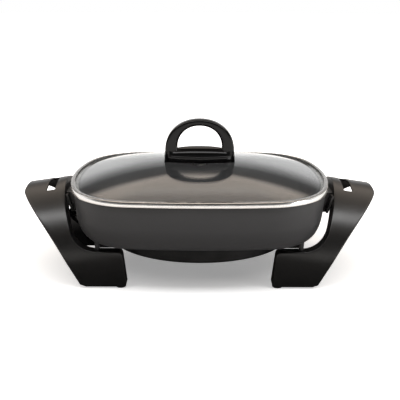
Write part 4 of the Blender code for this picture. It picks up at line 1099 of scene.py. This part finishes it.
def gusset_pieces():
    """Thin plates in the plane of the flange, on both sides of each neck."""
    for name, side in (("neck_left", -1), ("neck_right", 1)):
        low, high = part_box(name)
        foot = low.z + GUSSET_RISE
        near = high.y + GAP
        matrix = Matrix.Translation((flange_x(foot), 0.0, foot)) @ Matrix.Shear("XY", 4, (LEAN, 0.0))
        for end_name, y_side in (("front", -1), ("rear", 1)):
            ys = sorted((y_side * near, y_side * (near + GUSSET_REACH[name])))
            plate = block((-WING_SKIN, ys[0], 0.0), (-GAP, ys[1], GUSSET_HEIGHT))
            bmesh.ops.transform(plate, matrix=matrix, verts=plate.verts)
            bmesh.ops.scale(plate, vec=(side, 1.0, 1.0), verts=plate.verts)
            piece = to_object("neck_gusset_" + end_name + name[4:], plate)
            dress(piece, "base", "satin_moulding", SATIN_BLACK)


def lip_pieces():
    """Raised lips along the shelves, from behind the screw lugs to the inner corners of the legs."""
    outer = min(abs(x) for x, y, foot, end in lug_places() if foot < end)
    for side_name, side in (("left", -1), ("right", 1)):
        for end_name, y_side in (("front", -1), ("rear", 1)):
            xs = sorted((side * (LEG_INNER_X + LEG_CORNER_RADIUS), side * outer))
            ys = sorted((y_side * (LIP_REACH - WING_SKIN), y_side * LIP_REACH))
            lip = block((xs[0], ys[0], SHELF_HEIGHT + GAP / 2), (xs[1], ys[1], SHELF_HEIGHT + LIP_HEIGHT))
            lip = rounded(lip, 0, WING_ROUND / 2, EDGE_STEPS)
            piece = to_object("shelf_lip_" + end_name + "_" + side_name, lip)
            dress(piece, "base", "satin_moulding", SATIN_BLACK)


# Feet and screws

def foot_piece(name):
    low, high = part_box(name)
    x = (low.x + high.x) / 2
    y = (low.y + high.y) / 2
    pad = (high.x - low.x) / 2
    lip = FOOT_HEIGHT / 3
    top = high.z - STEM_CAP
    tread = [(0.0, TREAD_GROOVE), (pad * TREAD_INNER_SHARE, TREAD_GROOVE), (pad * TREAD_OUTER_SHARE, 0.0)]
    rim = [(pad - lip, 0.0), (pad, lip), (pad, FOOT_HEIGHT - GAP * 2), (pad - GAP, FOOT_HEIGHT - GAP)]
    stem = [(STEM_RADIUS, FOOT_HEIGHT - GAP), (STEM_RADIUS, top), (STEM_HEAD_RADIUS, top),
            (STEM_RADIUS, high.z), (0.0, high.z)]
    piece = turned_piece(name + "_pad", tread + rim + stem, Matrix.Translation((x, y, 0.0)))
    place(piece, "base", "foot_rubber", [name], RUBBER)


def pan_head(radius, base, seat):
    """Profile of a pan head from the middle of its top to the edge of its underside."""
    steps = EDGE_STEPS * 2
    angles = [pi / 2 * step / steps for step in range(steps - 1, -1, -1)]
    half = (seat - base) / 2
    return [(0.0, base)] + [(radius * cos(a), base + half * (1 - sin(a))) for a in angles]


def cut_recess(piece, base, matrix):
    """Cross recess in a head whose top lies at the base."""
    for half_x, half_y in ((RECESS_REACH, RECESS_WIDTH / 2), (RECESS_WIDTH / 2, RECESS_REACH)):
        bar = block((-half_x, -half_y, base - OVERRUN), (half_x, half_y, base + RECESS_DEPTH))
        bmesh.ops.transform(bar, matrix=matrix, verts=bar.verts)
        combine(piece, "DIFFERENCE", bar)


def screw_piece(name, material):
    """Pan head screw with a cross recess, turned along its own CAD node."""
    low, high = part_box(name)
    middle = (low + high) / 2
    size = high - low
    axis = max(range(3), key=lambda number: size[number])
    length = size[axis] - SCREW_HEAD_HEIGHT
    direction = Vector((0.0, 0.0, 0.0))
    direction[axis] = -1.0 if axis == 0 and middle.x > 0 else 1.0
    matrix = facing(*(middle - direction * (size[axis] / 2 - SCREW_HEAD_HEIGHT)), direction)
    profile = pan_head(SCREW_HEAD_RADIUS, -SCREW_HEAD_HEIGHT, 0.0)
    profile += [(SCREW_HEAD_RADIUS, -GAP), (SCREW_RADIUS, -GAP), (SCREW_RADIUS, length - SCREW_RADIUS),
                (SCREW_RADIUS / 2, length), (0.0, length)]
    piece = turned_piece(name + "_pan_head", profile, matrix)
    cut_recess(piece, -SCREW_HEAD_HEIGHT, matrix)
    place(piece, "base", "fastener_steel", [name], material)


# Lid

def dome_height(share):
    """Rise of the glass at a share of the way from its lip to its middle."""
    return DOME_RISE * (1 - (1 - share) ** DOME_FULLNESS)


def dome_rings(lift, hole):
    """Rings from the glass edge up to a hole in the crown."""
    base = RIM + GLASS_BOTTOM + lift
    lip = rim_outline(-GLASS_LIP - GLASS_EDGE_INSET, base)
    rings = [rim_outline(-GLASS_EDGE_INSET, base)]
    for step in range(DOME_STEPS + 1):
        share = (step / DOME_STEPS) ** DOME_RING_POWER
        ring = []
        for x, y, z in lip:
            reach = hypot(x, y)
            near = share * (hole / reach - 1) + 1
            ring.append((x * near, y * near, z + dome_height(share)))
        rings.append(ring)
    return rings


def glass_piece():
    under = dome_rings(0.0, KNOB_HOLE_RADIUS)
    over = dome_rings(GLASS_THICKNESS, KNOB_HOLE_RADIUS)
    piece = to_object("lid_glass_dome", loft(bmesh.new(), under + over[::-1], wrap=True))
    piece.visible_shadow = False
    place(piece, "lid", "lid_glass", ["lid_glass"], GLASS)


def band_piece():
    sheet = BAND_SHEET
    top = BAND_HEIGHT
    edge = BAND_EDGE_RADIUS
    hem = sheet / 2
    skirt = -PAN_SETBACK - RIM_LAND - SKIRT_CLEARANCE
    section = [(0.0, BAND_FACE), (-BAND_BEVEL_DEPTH, BAND_FACE + BAND_BEVEL_RISE)]
    section += arc(-BAND_LIP + hem, top - hem, hem, pi / 2, 3 * pi / 2, EDGE_STEPS)
    section += arc(-edge, top - edge, edge - sheet, pi / 2, 0.0, EDGE_STEPS)
    section += [(-sheet, sheet), (skirt - sheet, sheet)]
    section += arc(skirt - hem, -SKIRT_DEPTH + hem, hem, pi, 2 * pi, EDGE_STEPS)
    section += [(skirt, 0.0)]
    section += arc(-hem, hem, hem, -pi / 2, 0.0, EDGE_STEPS)
    place(rim_piece("lid_band_steel", section), "lid", "polished_steel", ["lid_band"], STEEL)


def seal_piece():
    outer = -BAND_EDGE_RADIUS / 2 - GAP
    inner = -GLASS_EDGE_INSET + GAP
    low = BAND_SHEET + GAP
    high = BAND_HEIGHT - BAND_SHEET - GAP
    glass_low = GLASS_BOTTOM - GAP
    glass_high = GLASS_BOTTOM + GLASS_THICKNESS + GAP
    chamfer = BAND_EDGE_RADIUS / 2
    section = [(outer, low), (outer, high - chamfer), (outer - chamfer, high), (-SEAL_LIP, high)]
    section += [(-SEAL_LIP, glass_high), (inner, glass_high), (inner, glass_low), (-SEAL_LIP, glass_low)]
    section += [(-SEAL_LIP, low)]
    place(rim_piece("lid_seal_channel", section), "lid", "silicone", ["lid_seal"], SILICONE)


# Knob

def knob_loop():
    """The arched grip, lofted from one foot over the top to the other."""
    crown = RIM + GLASS_CROWN
    root = crown - OVERRUN / 2
    top = crown + KNOB_HEIGHT
    outer = [(-KNOB_BASE_HALF_WIDTH, root)]
    outer += squared_arch(KNOB_HALF_WIDTH, crown + KNOB_FLANK, top, KNOB_STEPS)
    outer += [(KNOB_BASE_HALF_WIDTH, root)]
    inner = [(-KNOB_HOLE_HALF_WIDTH, root)]
    inner += squared_arch(KNOB_HOLE_HALF_WIDTH, crown + KNOB_HOLE_MIDDLE, top - KNOB_BAR, KNOB_STEPS)
    inner += [(KNOB_HOLE_HALF_WIDTH, root)]
    half = KNOB_HALF_THICKNESS
    c = KNOB_CHAMFER
    rings = []
    for outer_point, inner_point in zip(outer, inner):
        far = Vector(outer_point)
        near = Vector(inner_point)
        width = (far - near).length
        section = arc(c, half - c, c, pi, pi / 2, EDGE_STEPS)
        section += arc(width - c, half - c, c, pi / 2, 0.0, EDGE_STEPS)
        section += arc(width - c, c - half, c, 0.0, -pi / 2, EDGE_STEPS)
        section += arc(c, c - half, c, -pi / 2, -pi, EDGE_STEPS)
        spots = [(near.lerp(far, across / width), y) for across, y in section]
        rings.append([(spot.x, y, spot.y) for spot, y in spots])
    return loft(bmesh.new(), rings)


def knob_base():
    """Boat-shaped plinth with a shallow crown."""
    root = RIM + GLASS_CROWN - OVERRUN / 2
    length = KNOB_BASE_HALF_WIDTH
    depth = BASE_HALF_DEPTH
    shoulder = RIM + GLASS_CROWN + BASE_SHOULDER
    crown = RIM + GLASS_CROWN + BASE_CROWN
    edge = BASE_EDGE_RADIUS
    rings = [oval(length, depth, root, KNOB_STEPS), oval(length, depth, shoulder - edge, KNOB_STEPS)]
    for inset, rise in arc(-edge, -edge, edge, 0.0, pi / 2, EDGE_STEPS)[1:]:
        rings.append(oval(length + inset, depth + inset, shoulder + rise, KNOB_STEPS))
    flat_length = length - edge
    flat_depth = depth - edge
    for step in range(1, TURN_STEPS + 1):
        angle = step / TURN_STEPS * pi / 2
        half_x = flat_length + (KNOB_HOLE_HALF_WIDTH / 4 - flat_length) * (1 - cos(angle))
        half_y = flat_depth + (CROWN_HALF_DEPTH / 4 - flat_depth) * (1 - cos(angle))
        rings.append(oval(half_x, half_y, shoulder + (crown - shoulder) * sin(angle), KNOB_STEPS))
    return loft(bmesh.new(), rings)


def knob_piece():
    piece = to_object("lid_knob_loop", knob_loop())
    combine(piece, "UNION", knob_base())
    seat = [rim_outline(-GLASS_EDGE_INSET, RIM + GLASS_BOTTOM - OVERRUN)]
    seat += dome_rings(GLASS_THICKNESS + GAP, GAP)
    combine(piece, "DIFFERENCE", loft(bmesh.new(), seat))
    low = RIM + GLASS_CROWN - OVERRUN * 2
    high = RIM + GLASS_CROWN + INSERT_LENGTH + GAP * 2
    bore = INSERT_RADIUS + GAP
    socket = bmesh.new()
    turned(socket, [(0.0, low), (bore, low), (bore, high), (0.0, high)], Matrix())
    combine(piece, "DIFFERENCE", socket)
    ease_edges(piece, GAP * 1.5)
    place(piece, "lid", "gloss_moulding", ["lid_knob"], GLOSS_BLACK)


def washer_piece(hole, edge):
    low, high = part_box("knob_washer")
    outer = high.x
    profile = [(hole, low.z), (outer - edge, low.z), (outer, low.z + edge), (outer, high.z - edge),
               (outer - edge, high.z), (hole, high.z), (hole, low.z)]
    ring = turned_piece("knob_washer_ring", profile, Matrix())
    place(ring, "lid", "fastener_steel", ["knob_washer"], ZINC)


def grommet_piece(hole, edge):
    low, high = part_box("knob_grommet")
    outer = high.x
    lip = low.z + GROMMET_LIP - edge
    collar = KNOB_HOLE_RADIUS - GAP
    profile = [(hole, low.z), (outer - edge, low.z), (outer, low.z + edge), (outer, lip - edge),
               (collar, lip), (collar, high.z), (hole, high.z), (hole, low.z)]
    ring = turned_piece("knob_grommet_ring", profile, Matrix())
    place(ring, "lid", "silicone", ["knob_grommet"], SILICONE)


def insert_piece(hole):
    low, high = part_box("knob_insert")
    profile = [(hole, low.z), (high.x, low.z), (high.x, high.z), (hole, high.z), (hole, low.z)]
    sleeve = turned_piece("knob_insert_sleeve", profile, Matrix())
    place(sleeve, "lid", "insert_brass", ["knob_insert"], BRASS)


def knob_screw_piece():
    low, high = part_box("knob_screw")
    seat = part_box("knob_washer")[0].z - GAP
    shank = KNOB_SCREW_RADIUS
    profile = pan_head(high.x, low.z, seat)
    profile += [(high.x, seat), (shank, seat), (shank, high.z - shank / 2), (shank / 2, high.z),
                (0.0, high.z)]
    piece = turned_piece("knob_screw_pan_head", profile, Matrix())
    cut_recess(piece, low.z, Matrix())
    place(piece, "lid", "fastener_steel", ["knob_screw"], ZINC)


def fixing_pieces():
    """Washer, grommet, insert and screw, each turned to its CAD node's sizes."""
    hole = KNOB_SCREW_RADIUS + GAP
    washer_piece(hole, GAP)
    grommet_piece(hole, GAP)
    insert_piece(hole)
    knob_screw_piece()


# Studio

def ramp(tree, value, span, first, last):
    """Smooth change from a first to a last number while the value crosses a span."""
    made = node(tree, "ShaderNodeMapRange", interpolation_type="SMOOTHSTEP")
    for label, number in (("From Min", span[0]), ("From Max", span[1]), ("To Min", first), ("To Max", last)):
        made.inputs[label].default_value = number
    tree.links.new(value, made.inputs["Value"])
    return made.outputs["Result"]


def maths(tree, operation, first, second):
    made = node(tree, "ShaderNodeMath", operation=operation)
    tree.links.new(first, made.inputs[0])
    tree.links.new(second, made.inputs[1])
    return made.outputs["Value"]


def distance(tree, vector):
    made = node(tree, "ShaderNodeVectorMath", operation="LENGTH")
    tree.links.new(vector, made.inputs[0])
    return made.outputs["Value"]


def floor_material():
    """White floor with a painted shadow that glows less near the pan; in reflections it is painted dark near
    the legs and glows farther out.
    """
    material, tree, shader = finish("studio_floor_white", Roughness=FLOOR_ROUGHNESS, Specular_IOR_Level=0.0,
                                    Emission_Color=(1.0, 1.0, 1.0, 1.0))
    link = tree.links.new
    where = node(tree, "ShaderNodeTexCoord").outputs["Object"]
    path = node(tree, "ShaderNodeLightPath").outputs
    reach = distance(tree, where)
    # Painted shadow and painted light on the floor: the camera sees less glow near the pan and more beside it
    stretch = node(tree, "ShaderNodeMapping")
    stretch.inputs["Scale"].default_value = (1 / PAINTED_SHADOW_HALF_LENGTH, 1 / PAINTED_SHADOW_HALF_WIDTH, 1.0)
    link(where, stretch.inputs["Vector"])
    edge = ramp(tree, distance(tree, stretch.outputs["Vector"]), PAINTED_SHADOW_EDGE_RANGE, 0.0, PAINTED_SHADOW_EDGE_GLOW)
    painted_shadow_glow = maths(tree, "ADD", ramp(tree, reach, PAINTED_SHADOW_RANGE, PAINTED_SHADOW_GLOW, 1.0), edge)
    seen = maths(tree, "MAXIMUM", path["Is Camera Ray"], path["Is Transmission Ray"])
    # Painted reflection: the far floor glows only for glossy rays
    far = ramp(tree, reach, PAINTED_REFLECTION_RANGE, 0.0, PAINTED_REFLECTION_GLOW)
    painted_reflection_glow = maths(tree, "MULTIPLY", far, path["Is Glossy Ray"])
    strength = maths(tree, "MAXIMUM", maths(tree, "MULTIPLY", painted_shadow_glow, seen), painted_reflection_glow)
    link(strength, shader.inputs["Emission Strength"])
    # Painted shade in reflections: for glossy rays the floor tone drops to nearly black near the object
    tone_with_painted_shade = node(tree, "ShaderNodeMapRange")
    tone_with_painted_shade.inputs["To Min"].default_value = FLOOR_TONE
    near = ramp(tree, reach, PAINTED_SHADE_REFLECTION_RANGE, PAINTED_SHADE_IN_REFLECTIONS, FLOOR_TONE)
    link(path["Is Glossy Ray"], tone_with_painted_shade.inputs["Value"])
    link(near, tone_with_painted_shade.inputs["To Max"])
    link(tone_with_painted_shade.outputs["Result"], shader.inputs["Base Color"])
    return material


def stage_pieces():
    floor = bmesh.new()
    bmesh.ops.create_circle(floor, cap_ends=True, segments=FLOOR_STEPS, radius=FLOOR_RADIUS)
    piece = to_object("studio_floor", floor)
    piece.data.materials.append(floor_material())


def studio_world():
    """White for the camera, and for other rays a wall: a bright foot, a dark belt, then warm and bright."""
    world = bpy.data.worlds.new("studio")
    bpy.context.scene.world = world
    world.use_nodes = True
    tree = world.node_tree
    background = tree.nodes["Background"]
    link = tree.links.new
    split = node(tree, "ShaderNodeSeparateXYZ")
    link(node(tree, "ShaderNodeTexCoord").outputs["Generated"], split.inputs["Vector"])
    height = split.outputs["Z"]
    low = ramp(tree, height, BELT_RANGE, WALL_LIGHT, BELT_LIGHT)
    high = ramp(tree, height, UPPER_RANGE, 0.0, UPPER_LIGHT)
    top = ramp(tree, height, TOP_RANGE, 1.0, 0.0)
    wall = maths(tree, "ADD", low, maths(tree, "MULTIPLY", high, top))
    rear = ramp(tree, split.outputs["Y"], REAR_RANGE, FRONT_SHARE, 1.0)
    level = maths(tree, "MULTIPLY", wall, rear)
    camera_ray = node(tree, "ShaderNodeLightPath").outputs["Is Camera Ray"]
    link(maths(tree, "MAXIMUM", camera_ray, level), background.inputs["Strength"])
    warmth = ramp(tree, height, WARM_RANGE, 0.0, 1.0)
    link(tinted(tree, warmth, (1.0, 1.0, 1.0), WARM_WHITE), background.inputs["Color"])


def lamp(name, spot, aim, size, watts):
    light = bpy.data.lights.new(name, "AREA")
    light.shape = "RECTANGLE"
    light.size, light.size_y = size
    light.energy = watts
    made = bpy.data.objects.new(name, light)
    bpy.context.scene.collection.objects.link(made)
    made.location = spot
    made.rotation_euler = (Vector(aim) - Vector(spot)).to_track_quat("-Z", "Y").to_euler()


def studio_lamps():
    lamp("overhead_softbox", SOFTBOX_PLACE, SOFTBOX_AIM, SOFTBOX_SIZE, SOFTBOX_WATTS)
    lamp("low_side_panel", PANEL_PLACE, PANEL_AIM, PANEL_SIZE, PANEL_WATTS)


def photo_camera():
    data = bpy.data.cameras.new("photo_camera")
    data.sensor_width = SENSOR
    data.lens = FOCAL_PIXELS / PHOTO_SIZE * SENSOR
    data.shift_x = (PHOTO_SIZE / 2 - PRINCIPAL_X) / PHOTO_SIZE
    data.shift_y = (PRINCIPAL_Y - PHOTO_SIZE / 2) / PHOTO_SIZE
    camera = bpy.data.objects.new("photo_camera", data)
    bpy.context.scene.collection.objects.link(camera)
    back = Vector((0.0, -cos(CAMERA_ELEVATION), sin(CAMERA_ELEVATION)))
    camera.location = Vector((0.0, 0.0, AIM_HEIGHT)) + back * CAMERA_DISTANCE
    turn = Matrix.Rotation(pi / 2 - CAMERA_ELEVATION, 3, "X") @ Matrix.Rotation(CAMERA_ROLL, 3, "Z")
    camera.rotation_euler = turn.to_euler()
    bpy.context.scene.camera = camera


def cad_finishes():
    """Finishes of the CAD nodes that stay in view."""
    for name in ("neck_left", "neck_right"):
        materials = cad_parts[name].data.materials
        materials.clear()
        materials.append(SATIN_BLACK)


photo_camera()
studio_world()
studio_lamps()
stage_pieces()
cad_finishes()
gusset_pieces()
lip_pieces()
pan_piece()
ring_piece()
element_piece()
terminal_pieces()
well_piece()
guard_piece()
for wing_name, wing_side in (("handle_leg_left", -1), ("handle_leg_right", 1)):
    wing_piece(wing_name, wing_side)
    for end_name, end_side in (("front", -1), ("rear", 1)):
        foot_plate_piece("foot_plate_" + end_name + wing_name[10:], wing_side, end_side)
for foot_name in ("foot_front_left", "foot_front_right", "foot_rear_left", "foot_rear_right"):
    foot_piece(foot_name)
for screw_name in sorted(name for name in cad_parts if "_screw_" in name):
    screw_piece(screw_name, ZINC)
glass_piece()
band_piece()
seal_piece()
knob_piece()
fixing_pieces()

scene = bpy.context.scene
scene.view_settings.view_transform = "Standard"
